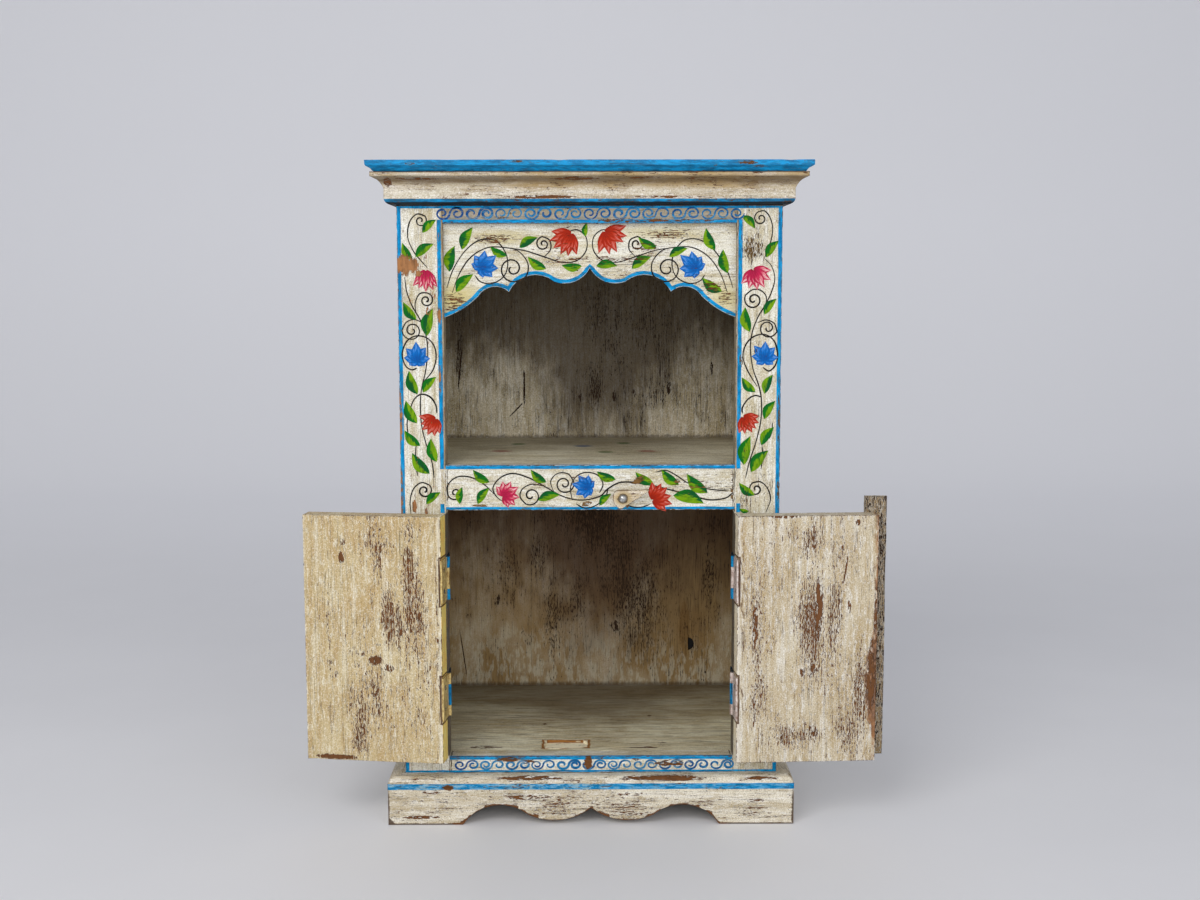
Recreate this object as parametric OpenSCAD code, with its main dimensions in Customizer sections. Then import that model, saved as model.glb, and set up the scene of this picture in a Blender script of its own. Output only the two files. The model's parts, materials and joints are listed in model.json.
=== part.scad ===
// Bedside pot cupboard: an open niche with a cusped arch above a two-door cupboard.
// X runs to the right, Y to the back and Z up. The origin is on the floor, at the middle of the
// plinth's footprint. The doors are drawn folded back, as they stand when the cupboard is open.

/* [Case] */
// Width across the face frame
case_w = 420; // [360:5:520]
// Depth from the face frame to the back
case_d = 310; // [240:5:400]
// Thickness of the side panels
panel_t = 16; // [12:1:24]
// Thickness of the back boards
back_t = 10; // [6:1:16]
// Thickness of the stiles and rails
frame_t = 22; // [18:1:30]
// Width of each stile
stile_w = 50; // [40:1:65]
// Thickness of the middle shelf
shelf_t = 16; // [12:1:24]
// Thickness of the cupboard's floor
floor_t = 16; // [12:1:20]
// Side of the square cleats under the boards
cleat = 14; // [10:1:18]
// Height of the back boards' lower ends above the ground
back_low = 20; // [10:1:40]
// Place of the left joint between back boards, from the middle
back_joint_l = -79; // [-120:1:-40]
// Place of the right joint between back boards, from the middle
back_joint_r = 129; // [60:1:140]

/* [Heights] */
// Height of the plinth
plinth_h = 55; // [45:1:80]
// Face of the bottom rail above the plinth
bottom_rail_h = 18; // [12:1:40]
// Height of the door opening
door_open_h = 282; // [240:1:400]
// Height of the middle rail
middle_rail_h = 50; // [40:1:70]
// Height of the upper niche
niche_h = 265; // [200:1:360]
// Face of the top rail below the cornice
top_rail_h = 20; // [14:1:40]
// Height of the cornice
cornice_h = 34; // [30:1:50]

/* [Top board] */
// Thickness of the top board
top_t = 12; // [10:1:24]
// Overhang of the top board beyond the case
top_over = 30; // [28:1:45]
// Straight part of the top board's edge
top_lip = 6; // [3:1:9]
// How far the edge draws in below its straight part
top_ovolo = 8; // [4:1:12]

/* [Cornice] */
// Projection of the cornice's top fillet
cornice_out = 25; // [20:1:27]
// Height of the top fillet
fillet_h = 5; // [3:1:7]
// Step in from the fillet to the cove
fillet_step = 2; // [1:0.5:3]
// Projection of the cove's foot
cove_in = 12; // [8:1:15]
// Height of the bead at the bottom of the cornice
bead_h = 6; // [4:1:8]
// Bulge of the bead's round face
bead_bulge = 1.5; // [0.5:0.1:2]
// Depth of the cove's hollow
cove_bulge = 1.6; // [0.8:0.1:2.5]

/* [Plinth] */
// Thickness of the plinth boards, and their projection from the case
plinth_t = 18; // [14:1:26]
// Radius of the plinth's top edge
plinth_round = 8; // [4:1:12]
// Width of each front foot
foot_w = 84; // [60:1:100]
// Height of the cusp at the middle of the scalloped edge
scallop_cusp = 19; // [14:1:24]
// Height at which the scallop's two curves meet
scallop_turn = 11; // [8:1:14]
// Depth of the inner, hanging curve
scallop_dip = 10; // [6:1:12]
// Depth of the outer, rising curve
scallop_rise = 17; // [12:1:20]

/* [Arch] */
// Thickness of the arch board
arch_t = 10; // [8:1:12]
// Setback of the arch board behind the face
arch_back = 8; // [4:1:9]
// Height of the arch board where it meets the stiles
arch_foot = 102; // [80:1:120]
// Height of the board over the outer curve's start
arch_outer = 79; // [65:1:90]
// Height of the board over the side cusp
arch_side = 74; // [60:1:85]
// Height of the board over the middle bulge's start
arch_inner = 63; // [50:1:72]
// Height of the board over the middle cusp
arch_mid = 48; // [36:1:56]
// Bulge of the curve beside the middle cusp
arch_drop = 8; // [5:0.5:10]
// Bulge of the curve inside the side cusp
arch_lobe = 12.5; // [8:0.5:15]
// Bulge of the curve outside the side cusp
arch_knee = 8; // [5:0.5:10]
// Bulge of the curve that runs out to the stile
arch_tail = 2.5; // [1:0.5:5]
// Depth that the arch board is housed in the frame
arch_house = 6; // [4:1:10]

/* [Joinery] */
// Length of the rail tenons
tenon_l = 25; // [15:1:30]
// Thickness of the rail tenons
tenon_t = 8; // [6:1:10]
// Shoulder above and below a tenon
shoulder = 4; // [3:1:6]
// Clearance round a housed part
fit = 0.1; // [0.05:0.05:0.3]

/* [Doors] */
// Thickness of the doors
door_t = 22; // [18:1:26]
// Gap between a door and its stile
hinge_gap = 2.4; // [2:0.2:4]
// Gap where the doors meet
meet_gap = 3.2; // [2:0.2:6]
// Gap above the doors
door_top_gap = 3; // [2:0.5:6]
// Gap below the doors
door_low_gap = 1.5; // [1:0.5:4]
// Width of the left door's plank on the hinge side
left_plank = 54; // [40:1:80]
// Width of the right door's plank on the hinge side
right_plank = 100; // [70:1:110]
// Angle of the open left door
left_open = 188; // [90:1:188]
// Angle of the open right door
right_open = 183; // [90:1:188]
// Width of the meeting strip
strip_w = 25; // [20:1:34]
// Thickness of the meeting strip
strip_t = 6; // [4:1:9]
// Lap of the meeting strip on its door
strip_lap = 11; // [9:1:14]
// Rise of the meeting strip above its door
strip_rise = 18; // [12:1:24]
// Gap between the strip and what it closes over
strip_clear = 0.5; // [0.4:0.1:1]

/* [Hinges] */
// Height of a hinge
hinge_h = 48; // [40:1:60]
// Distance from a door's end to its hinge
hinge_inset = 48.5; // [30:0.5:60]
// Length of a hinge's end knuckles
knuckle_h = 12; // [9:1:14]
// Radius of the knuckles
barrel_r = 2.5; // [2:0.1:3]
// Distance from the frame's face to the hinge axis
barrel_out = 4.5; // [4.5:0.1:6]
// Thickness of a leaf
leaf_t = 2; // [1.5:0.1:2.5]
// Width of a leaf, from the hinge axis
leaf_w = 26; // [22:0.5:26]
// Gap between closed leaves
leaf_gap = 0.3; // [0.2:0.1:0.6]
// Radius of the hinge pins
pin_r = 1.2; // [1:0.1:1.4]

/* [Turn button] */
// Length from the pivot to the tip
button_l = 30.5; // [26:0.5:36]
// Half width of the round end
button_half = 10.6; // [8:0.1:12]
// Thickness of the tip
button_t = 4; // [3:0.5:6]
// How far the tip laps the meeting strip
button_lap = 7.1; // [4:0.1:10]
// Height of the pivot above the rail's lower edge
button_rise = 14; // [12:1:20]
// Angle of the tip above the horizontal
button_angle = 18; // [0:1:90]
// Clearance between the tip and the strip under it
button_clear = 0.6; // [0.4:0.1:1]

/* [Screws and nails] */
// Radius of the button screw's shank
button_screw_r = 2; // [1.5:0.1:2.5]
// Radius of the button screw's head
button_head_r = 4.5; // [3.5:0.1:5]
// Depth of the button screw in the rail
button_screw_in = 16; // [10:1:18]
// Radius of a hinge screw's shank
screw_r = 1.5; // [1:0.1:1.8]
// Radius of a hinge screw's head
screw_head_r = 3; // [2.4:0.1:3.4]
// Length of a hinge screw
screw_l = 14; // [10:1:18]
// Radius of a nail
nail_r = 1.1; // [0.8:0.1:1.5]
// Length of a back nail
nail_l = 30; // [22:1:36]

/* [Old marks] */
// Width of the knot hole beside the back's right joint
knot_w = 8; // [4:1:12]
// Height of the knot hole
knot_h = 18; // [10:1:30]
// Height of the knot hole's middle above the cupboard's floor
knot_up = 56; // [30:1:120]
// Depth of the knot hole
knot_deep = 7; // [2:1:8]
// Length of the old recess in the cupboard's floor
recess_l = 54; // [30:1:80]
// Width of the recess from front to back
recess_w = 30; // [16:1:40]
// Depth of the recess
recess_t = 3; // [1:0.5:6]
// Place of the recess's left end, from the middle
recess_x = -56; // [-90:1:0]
// Distance from the face frame's front to the recess
recess_in = 31; // [31:1:60]

/* [Hidden] */
$fn = 48;
e = 0.01;
cut = 1;
arc_steps = 8;
cream = [0.88, 0.84, 0.72];
sky = [0.10, 0.52, 0.85];
bare_wood = [0.55, 0.38, 0.22];
steel = [0.62, 0.62, 0.62];
painted_iron = [0.80, 0.77, 0.66];

// Proportions of small parts: shares of the size that each one names
ovolo_bulge = 1 / 6;
button_back_share = 0.36;
button_tip = 0.6;
button_steps = 16;
screw_place = 0.62;
sink_share = 0.8;
dome_share = 0.55;
slot_share = 0.22;
slot_turn = 40;
strip_nail_share = 0.7;
recess_end = 1 / 3;
end_margin = 0.06;

// Running and seating clearances
pin_clear = 0.05;
seat_clear = 0.02;
turn_clear = 0.08;
face_clear = 0.2;
knuckle_clear = 0.4;
knuckle_end = 0.15;

// Places along Y, from the front to the back
front_y = plinth_t - (case_d + plinth_t) / 2;
back_y = front_y + case_d;
frame_y = front_y + frame_t;
inner_y = back_y - back_t;
arch_y = front_y + arch_back;

// Places along X
half_w = case_w / 2;
open_x = half_w - stile_w;
wall_x = half_w - panel_t;
axis_x = open_x - hinge_gap / 2;
axis_y = front_y - barrel_out;
door_w = open_x - hinge_gap - meet_gap / 2;

// Places along Z
floor_z = plinth_h + bottom_rail_h;
mid_low = floor_z + door_open_h;
shelf_z = mid_low + middle_rail_h;
niche_top = shelf_z + niche_h;
cornice_z = niche_top + top_rail_h;
top_z = cornice_z + cornice_h;
door_low = floor_z + door_low_gap;
door_top = mid_low - door_top_gap;
rail_low = plinth_h / 2;
low_hinge_z = door_low + hinge_inset;
high_hinge_z = door_top - hinge_inset - hinge_h;

// The turn button's pivot, and the faces it works between
stand = strip_clear + strip_t + button_clear;
button_x = meet_gap / 2 + strip_lap + button_l - button_lap;
button_z = mid_low + button_rise;
button_corner = -button_half / 2;
button_back = -button_l * button_back_share;
button_bore = button_screw_r + turn_clear;

// Half of the arch board's lower edge: share of the half opening, drop below the niche's top, and
// the bulge of the curve that leads to the next point, outwards from the board being negative
arch_stops = [
    [0, arch_mid, -arch_drop],
    [0.244, arch_inner, arch_lobe],
    [0.556, arch_side, arch_knee],
    [0.769, arch_outer, -arch_tail],
    [1, arch_foot, 0]
];

// Half of the plinth's scalloped edge: share of the half span, height and the curve's bulge
scallop_stops = [
    [0, scallop_cusp, -scallop_dip],
    [0.486, scallop_turn, scallop_rise],
    [1, 0, 0]
];

// Points of a round arc from a up to b, with its bulge s to the left of the way from a to b
function arc(a, b, s, n = arc_steps) =
    s == 0 ? [a] :
    let (
        along = (b - a) / 2,
        across = [-along.y, along.x],
        half = 2 * atan(s / norm(along))
    )
    [
        for (i = [0 : n - 1])
            let (t = half * (2 * i / n - 1))
            (a + b) / 2
                + along * sin(t) / sin(half)
                + across * (cos(t) - cos(half)) / sin(half)
    ];

// Points through a list of [x, z, bulge] stops
function curve(stops) = [
    for (i = [0 : len(stops) - 2])
        each arc(
            [stops[i].x, stops[i].y],
            [stops[i + 1].x, stops[i + 1].y],
            stops[i].z
        ),
    [stops[len(stops) - 1].x, stops[len(stops) - 1].y]
];

// A curve and its mirror image about x = 0, from left to right
function both_halves(pts) = concat(
    [for (i = [len(pts) - 1 : -1 : 1]) [-pts[i].x, pts[i].y]],
    pts
);

function quarter(r) = r * (1 - cos(45));

// A box between two opposite corners
module block(low, high) {
    translate(low) cube(high - low);
}

// A [y, z] profile drawn out along X between two places
module along_x(x0, x1) {
    translate([x0, 0, 0])
        rotate([90, 0, 90])
            linear_extrude(x1 - x0) children();
}

// An [x, z] profile drawn out along Y between two places
module along_y(y0, y1) {
    translate([0, y1, 0])
        rotate([90, 0, 0])
            linear_extrude(y1 - y0) children();
}

module on_side(side) {
    if (side < 0) children();
    else mirror([1, 0, 0]) children();
}

// ---- Top and cornice ----

// The top board's edge, from the top corner down, out from a case edge at 0
function top_edge() = concat(
    [[top_over, top_t]],
    arc([top_over, top_t - top_lip], [top_over - top_ovolo, 0], -top_ovolo * ovolo_bulge),
    [[top_over - top_ovolo, 0]]
);

module top_board() {
    edge = top_edge();
    front_profile = concat(
        [[back_y, 0], [back_y, top_t]],
        [for (p = edge) [front_y - p.x, p.y]]
    );
    left_half = [for (p = edge) [-half_w - p.x, p.y]];
    right_half = [for (i = [len(edge) - 1 : -1 : 0]) [half_w + edge[i].x, edge[i].y]];
    color(sky) translate([0, 0, top_z]) intersection() {
        along_x(-case_w, case_w) polygon(front_profile);
        along_y(front_y - case_d, back_y + e) polygon(concat(left_half, right_half));
    }
}

// The cornice's profile: [projection, height] from its foot up
function cornice_profile() = concat(
    [[0, 0]],
    arc([cove_in / 2, 0], [cove_in, bead_h], -bead_bulge),
    arc([cove_in, bead_h], [cove_in, cornice_h / 2], 0),
    arc(
        [cove_in, cornice_h / 2],
        [cornice_out - fillet_step, cornice_h - fillet_h],
        cove_bulge
    ),
    [
        [cornice_out - fillet_step, cornice_h - fillet_h],
        [cornice_out, cornice_h - fillet_h],
        [cornice_out, cornice_h],
        [0, cornice_h]
    ]
);

// The ground plan of a mitred front member of projection p, and of the left one
function front_plan(p) = [
    [-half_w, front_y], [-half_w - p, front_y - p],
    [half_w + p, front_y - p], [half_w, front_y]
];
function left_plan(p) = [
    [-half_w, front_y], [-half_w, back_y],
    [-half_w - p, back_y], [-half_w - p, front_y - p]
];

module mitred_front(profile, out) {
    intersection() {
        along_x(-case_w, case_w)
            polygon([for (p = profile) [front_y - p.x, p.y]]);
        linear_extrude(top_z) polygon(front_plan(out));
    }
}

module mitred_side(profile, out, side) {
    on_side(side) intersection() {
        along_y(front_y - 2 * out, back_y)
            polygon([for (p = profile) [-half_w - p.x, p.y]]);
        linear_extrude(top_z) polygon(left_plan(out));
    }
}

module cornice_front() {
    color(cream) translate([0, 0, cornice_z]) mitred_front(cornice_profile(), cornice_out);
}

module cornice_side(side) {
    color(cream) translate([0, 0, cornice_z])
        mitred_side(cornice_profile(), cornice_out, side);
}

// ---- Face frame ----

// A rail's tenons, and with a clearance the mortises that take them
module tenons(z0, z1, clear = 0) {
    mid = front_y + frame_t / 2;
    block(
        [-open_x - tenon_l - clear, mid - tenon_t / 2 - clear, z0 + shoulder - clear],
        [open_x + tenon_l + clear, mid + tenon_t / 2 + clear, z1 - shoulder + clear]
    );
}

module rail(z0, z1) {
    block([-open_x, front_y, z0], [open_x, frame_y, z1]);
    tenons(z0, z1);
}

// The arch board's housed blank, and with a clearance the grooves that take it
module arch_blank(clear = 0) {
    block(
        [-open_x - arch_house - clear, arch_y - clear, niche_top - arch_foot - clear],
        [open_x + arch_house + clear, arch_y + arch_t + clear, niche_top + arch_house + clear]
    );
}

module stile(side) {
    color(cream) difference() {
        on_side(side) difference() {
            block([-half_w, front_y, 0], [-open_x, frame_y, top_z]);
            leaf_mortises();
            frame_screw_holes();
        }
        tenons(niche_top, top_z, fit);
        tenons(mid_low, shelf_z, fit);
        tenons(rail_low, floor_z, fit);
        arch_blank(fit);
    }
}

module top_rail() {
    color(cream) difference() {
        rail(niche_top, top_z);
        arch_blank(fit);
    }
}

module middle_rail() {
    color(cream) difference() {
        rail(mid_low, shelf_z);
        at_button() screw_shank(button_screw_r + seat_clear, -button_screw_in - e, e);
    }
}

module bottom_rail() {
    color(cream) rail(rail_low, floor_z);
}

module arch_board() {
    half = curve([for (s = arch_stops) [s.x * open_x, niche_top - s.y, s.z]]);
    low = niche_top - arch_foot - cut;
    opening = concat(both_halves(half), [[open_x, low], [-open_x, low]]);
    color(cream) difference() {
        arch_blank();
        along_y(arch_y - cut, arch_y + arch_t + cut) polygon(opening);
    }
}

// ---- Case ----

module side_panel(side) {
    color(cream) on_side(side)
        block([-half_w, frame_y, 0], [-wall_x, inner_y, top_z]);
}

module back_board(x0, x1) {
    color(cream) difference() {
        block([x0, inner_y, back_low], [x1, back_y, top_z]);
        nails_at_back(seat_clear);
    }
}

// Two nails in each back board at the shelf and at the floor
module nails_at_back(clear = 0) {
    joints = [-half_w, back_joint_l, back_joint_r, half_w];
    out = clear > 0 ? e : 0;
    for (i = [0 : 2], share = [0.3, 0.7])
        for (z = [shelf_z - shelf_t / 2, floor_z - floor_t / 2])
            translate([joints[i] + (joints[i + 1] - joints[i]) * share, back_y + out, z])
                rotate([90, 0, 0])
                    cylinder(r = nail_r + clear, h = nail_l + clear + out);
}

module back_nails() {
    color(steel) nails_at_back();
}

// A blind hole in the inner face, where a knot fell out beside the right joint
module knot_hole() {
    outline = concat([[-cut, 0]], arc([0, 0], [0, knot_h], -knot_w), [[0, knot_h], [-cut, knot_h]]);
    translate([back_joint_r, 0, floor_z + knot_up - knot_h / 2])
        along_y(inner_y - cut, inner_y + knot_deep) polygon(outline);
}

module back_board_right() {
    color(cream) difference() {
        back_board(back_joint_r, half_w);
        knot_hole();
    }
}

module inner_board(z1, t) {
    color(cream) difference() {
        block([-wall_x, frame_y, z1 - t], [wall_x, inner_y, z1]);
        nails_at_back(seat_clear);
    }
}

// A shallow recess in the floor, straight at its left end and round at its right one
module floor_recess() {
    end = recess_w * recess_end;
    outline = concat(
        [[0, 0], [end / 2, recess_w]],
        arc([recess_l - end, recess_w], [recess_l - end, 0], end),
        [[recess_l - end, 0]]
    );
    translate([recess_x, front_y + recess_in, floor_z - recess_t])
        linear_extrude(recess_t + cut) polygon(outline);
}

module floor_board() {
    color(cream) difference() {
        inner_board(floor_z, floor_t);
        floor_recess();
    }
}

// The pair of cleats that carries a board whose underside is at z1
module cleats(z1) {
    color(bare_wood) for (side = [-1, 1]) on_side(side)
        block([-wall_x, frame_y, z1 - cleat], [-wall_x + cleat, inner_y, z1]);
}

// ---- Plinth ----

plinth_profile = concat(
    [[0, 0]],
    [[plinth_t, 0]],
    arc([plinth_t, plinth_h - plinth_round], [plinth_t - plinth_round, plinth_h],
        -quarter(plinth_round)),
    [[plinth_t - plinth_round, plinth_h], [0, plinth_h]]
);

module plinth_front() {
    span = half_w + plinth_t - foot_w;
    half = curve([for (s = scallop_stops) [s.x * span, s.y, s.z]]);
    color(cream) difference() {
        mitred_front(plinth_profile, plinth_t);
        along_y(front_y - plinth_t - cut, front_y + cut)
            polygon(concat(both_halves(half), [[span, -cut], [-span, -cut]]));
    }
}

module plinth_side(side) {
    color(cream) mitred_side(plinth_profile, plinth_t, side);
}

// ---- Hinges, drawn for the left door shut, with the axis on Z at the origin ----

module at_axis() {
    translate([-axis_x, axis_y, 0]) children();
}

// Turns the left door's parts about their hinge axis to where they stand open
module swing(angle) {
    at_axis() rotate([0, 0, -angle]) translate([axis_x, -axis_y, 0]) children();
}

hinge_places = [low_hinge_z, high_hinge_z];

// The leaf on the frame's side of the axis, with its own knuckles
module leaf(z0, own_ends) {
    ends = [
        [0, knuckle_h - knuckle_end],
        [hinge_h - knuckle_h + knuckle_end, hinge_h]
    ];
    middle = [[knuckle_h + knuckle_end, hinge_h - knuckle_h - knuckle_end]];
    difference() {
        union() {
            block(
                [-leaf_gap / 2 - leaf_t, barrel_r + knuckle_clear, z0],
                [-leaf_gap / 2, leaf_w, z0 + hinge_h]
            );
            for (k = own_ends ? ends : middle) {
                translate([0, 0, z0 + k[0]]) cylinder(r = barrel_r, h = k[1] - k[0]);
                block(
                    [-leaf_gap / 2 - leaf_t, 0, z0 + k[0]],
                    [-leaf_gap / 2, barrel_r + knuckle_clear + e, z0 + k[1]]
                );
            }
        }
        translate([0, 0, z0 - cut])
            cylinder(r = pin_r + pin_clear, h = hinge_h + 2 * cut);
        leaf_screws(z0, seat_clear);
    }
}

// Two countersunk screws through a leaf, pointing into the frame
module leaf_screws(z0, clear = 0) {
    for (share = [0.25, 0.75])
        translate([-leaf_gap / 2, leaf_w * screw_place, z0 + hinge_h * share])
            rotate([0, -90, 0]) {
                cylinder(
                    r1 = screw_head_r + clear,
                    r2 = screw_r + clear,
                    h = leaf_t * sink_share
                );
                cylinder(r = screw_r + clear, h = screw_l + clear);
            }
}

module frame_leaf(z0, own_ends) {
    color(painted_iron) at_axis() leaf(z0, own_ends);
}

module door_leaf(z0, own_ends, angle) {
    color(painted_iron) swing(angle) at_axis() mirror([1, 0, 0]) leaf(z0, own_ends);
}

module pin(z0) {
    color(steel) at_axis() translate([0, 0, z0]) cylinder(r = pin_r, h = hinge_h);
}

module frame_screw_holes() {
    at_axis() for (z = hinge_places) leaf_screws(z, seat_clear);
}

module frame_hinge_screws() {
    color(steel) for (side = [-1, 1], z = hinge_places)
        on_side(side) at_axis() leaf_screws(z);
}

module door_screws(angle) {
    color(steel) for (z = hinge_places)
        swing(angle) at_axis() mirror([1, 0, 0]) leaf_screws(z);
}

// The recesses for the leaves, cut right through the wood's thickness
module leaf_mortises() {
    at_axis() for (z = hinge_places)
        block(
            [-leaf_gap / 2 - leaf_t - seat_clear, 0, z - fit],
            [0, barrel_out + frame_t + door_t, z + hinge_h + fit]
        );
}

// ---- Doors, drawn as left doors shut ----

// A plank from u0 to u1, measured from the door's hinge edge; proud moves it forwards
module plank(u0, u1, proud = 0) {
    edge = -open_x + hinge_gap;
    difference() {
        block(
            [edge + u0, front_y - proud, door_low],
            [edge + u1, front_y - proud + door_t, door_top]
        );
        at_axis() mirror([1, 0, 0]) for (z = hinge_places) {
            block(
                [-leaf_gap / 2 - leaf_t - seat_clear, 0, z - fit],
                [0, barrel_out + door_t + cut, z + hinge_h + fit]
            );
            leaf_screws(z, seat_clear);
        }
    }
}

module left_door_hinge_plank() {
    color(cream) swing(left_open) plank(0, left_plank);
}

module left_door_free_plank() {
    color(cream) swing(left_open) plank(left_plank, door_w);
}

module right_door_hinge_plank() {
    color(cream) on_side(1) swing(right_open) plank(0, right_plank, strip_clear);
}

module right_door_free_plank() {
    color(cream) on_side(1) swing(right_open) difference() {
        plank(right_plank, door_w, strip_clear);
        nails_in_strip(seat_clear);
    }
}

// Nails that hold the meeting strip, in the middle of its lap on the door
module nails_in_strip(clear = 0) {
    x = -meet_gap / 2 - strip_lap / 2;
    y = front_y - strip_clear - strip_t;
    h = strip_t + door_t * strip_nail_share + clear;
    for (share = [end_margin, 1 / 3, 2 / 3, 1 - end_margin])
        translate([x, y, door_low + (door_top - door_low) * share])
            rotate([-90, 0, 0]) cylinder(r = nail_r + clear, h = h);
}

module meeting_strip() {
    edge = -meet_gap / 2 - strip_lap;
    color(cream) on_side(1) swing(right_open) difference() {
        block(
            [edge, front_y - strip_clear - strip_t, door_low],
            [edge + strip_w, front_y - strip_clear, door_top + strip_rise]
        );
        nails_in_strip(seat_clear);
    }
}

module strip_nails() {
    color(steel) on_side(1) swing(right_open) nails_in_strip();
}

// ---- Turn button, drawn on XY with its pivot at the origin and Z out of the rail ----

module at_button() {
    translate([button_x, front_y, button_z]) rotate([90, 0, 0]) children();
}

module screw_shank(r, z0, z1) {
    translate([0, 0, z0]) cylinder(r = r, h = z1 - z0);
}

// A pointed tip, and a round end drawn back between two corners
module button_outline() {
    corner = [button_corner, button_half];
    round_end = concat(
        arc(corner, [button_corner, -button_half], button_back - button_corner, button_steps),
        [[button_corner, -button_half]]
    );
    polygon(concat([[button_l, -button_tip], [button_l, button_tip]], round_end));
}

module turn_button() {
    color(cream) at_button() rotate([0, 0, button_angle]) difference() {
        union() {
            translate([0, 0, stand]) linear_extrude(button_t) button_outline();
            translate([0, 0, face_clear]) linear_extrude(stand - face_clear + e)
                intersection() {
                    button_outline();
                    circle(r = button_half);
                }
        }
        screw_shank(button_bore, -cut, stand + button_t + cut);
    }
}

module turn_button_screw() {
    head_z = stand + button_t + face_clear / 2;
    dome_h = button_head_r * dome_share;
    dome_r = (button_head_r * button_head_r + dome_h * dome_h) / (2 * dome_h);
    slot_w = button_head_r * slot_share;
    color(steel) at_button() {
        screw_shank(button_screw_r, -button_screw_in, head_z + e);
        difference() {
            intersection() {
                translate([0, 0, head_z + dome_h - dome_r]) sphere(r = dome_r);
                screw_shank(button_head_r, head_z, head_z + dome_h + cut);
            }
            rotate([0, 0, slot_turn])
                block(
                    [-button_head_r, -slot_w / 2, head_z + dome_h / 2],
                    [button_head_r, slot_w / 2, head_z + dome_h + cut]
                );
        }
    }
}

top_board();
cornice_front();
cornice_side(-1);  // cornice_left
cornice_side(1);  // cornice_right
stile(-1);  // stile_left
stile(1);  // stile_right
top_rail();
middle_rail();
bottom_rail();
arch_board();
side_panel(-1);  // side_panel_left
side_panel(1);  // side_panel_right
back_board(-half_w, back_joint_l);  // back_board_left
back_board(back_joint_l, back_joint_r);  // back_board_middle
back_board_right();
back_nails();
inner_board(shelf_z, shelf_t);  // middle_shelf
floor_board();
cleats(top_z);  // top_cleats
cleats(shelf_z - shelf_t);  // shelf_cleats
cleats(floor_z - floor_t);  // floor_cleats
plinth_front();
plinth_side(-1);  // plinth_left
plinth_side(1);  // plinth_right
left_door_hinge_plank();
left_door_free_plank();
right_door_hinge_plank();
right_door_free_plank();
meeting_strip();
strip_nails();
frame_leaf(high_hinge_z, true);  // left_upper_frame_leaf
door_leaf(high_hinge_z, false, left_open);  // left_upper_door_leaf
pin(high_hinge_z);  // left_upper_pin
frame_leaf(low_hinge_z, false);  // left_lower_frame_leaf
door_leaf(low_hinge_z, true, left_open);  // left_lower_door_leaf
pin(low_hinge_z);  // left_lower_pin
on_side(1) frame_leaf(high_hinge_z, true);  // right_upper_frame_leaf
on_side(1) door_leaf(high_hinge_z, false, right_open);  // right_upper_door_leaf
on_side(1) pin(high_hinge_z);  // right_upper_pin
on_side(1) frame_leaf(low_hinge_z, false);  // right_lower_frame_leaf
on_side(1) door_leaf(low_hinge_z, true, right_open);  // right_lower_door_leaf
on_side(1) pin(low_hinge_z);  // right_lower_pin
frame_hinge_screws();
door_screws(left_open);  // left_door_hinge_screws
on_side(1) door_screws(right_open);  // right_door_hinge_screws
turn_button();
turn_button_screw();
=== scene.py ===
"""Looks of the bedside pot cupboard: worn cream boards, blue lines and hand-painted vines.

Lengths are in millimetres until a mesh is made. The part's frame has X to the right, Y to the
back and Z up. A door's parts are described as if the door were shut, and turned open at the end.
"""
import json
import math
import random

import bmesh
import bpy
from mathutils import Matrix, Vector, noise


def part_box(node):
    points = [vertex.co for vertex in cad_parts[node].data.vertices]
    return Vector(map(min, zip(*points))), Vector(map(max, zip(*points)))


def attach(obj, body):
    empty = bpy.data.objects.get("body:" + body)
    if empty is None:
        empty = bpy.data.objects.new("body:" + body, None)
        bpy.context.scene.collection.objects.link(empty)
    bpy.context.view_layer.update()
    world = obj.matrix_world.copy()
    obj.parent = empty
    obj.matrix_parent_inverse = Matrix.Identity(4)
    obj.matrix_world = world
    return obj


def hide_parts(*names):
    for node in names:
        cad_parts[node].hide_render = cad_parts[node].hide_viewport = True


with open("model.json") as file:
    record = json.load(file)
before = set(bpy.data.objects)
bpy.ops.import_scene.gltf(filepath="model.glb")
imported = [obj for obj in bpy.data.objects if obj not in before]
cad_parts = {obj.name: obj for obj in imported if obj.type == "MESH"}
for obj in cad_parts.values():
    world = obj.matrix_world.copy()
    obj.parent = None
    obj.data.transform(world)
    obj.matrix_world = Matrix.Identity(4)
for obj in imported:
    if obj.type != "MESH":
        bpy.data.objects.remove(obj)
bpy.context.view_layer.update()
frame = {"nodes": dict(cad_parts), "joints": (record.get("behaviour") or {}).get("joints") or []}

MM = 0.001
nodes = frame["nodes"]
joints = {joint["name"]: joint for joint in frame["joints"]}

# Where the cupboard's faces lie, across, from front to back and up.
STILE_OUT, STILE_IN, PLINTH_SIDE = 210, 160, 228
PLINTH_FACE, FACE, ARCH_FACE, DOOR_BACK, BACK, CASE_BACK = -164, -146, -138, -124, 154, 164
PLINTH_TOP, FLOOR, MIDDLE_LOW, SHELF_LOW, SHELF, NICHE_TOP, FRAME_TOP = 55, 73, 355, 389, 405, 670, 687

# From where to where three painted lines go up: on the plinth, over it and under the cornice.
ON_PLINTH, OVER_PLINTH, UNDER_CORNICE = (40.8, 47.4), (55.1, 57.2), (686.2, 688.6)


def box_mm(node):
    """Lowest and highest corner of a CAD node, in millimetres."""
    return [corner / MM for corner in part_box(node)]


def linked(name, data):
    """A new object in the scene."""
    made = bpy.data.objects.new(name, data)
    bpy.context.scene.collection.objects.link(made)
    return made


# ---- Camera, stage and light ----

FOCAL_PX, IMAGE_WIDTH_PX = 1481.06, 1200
CAMERA_AT = (0.0011, -1.7736, 0.6042)
PITCH, YAW, ROLL = (math.radians(angle) for angle in (-6.39, 0.34, -0.08))


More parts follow.
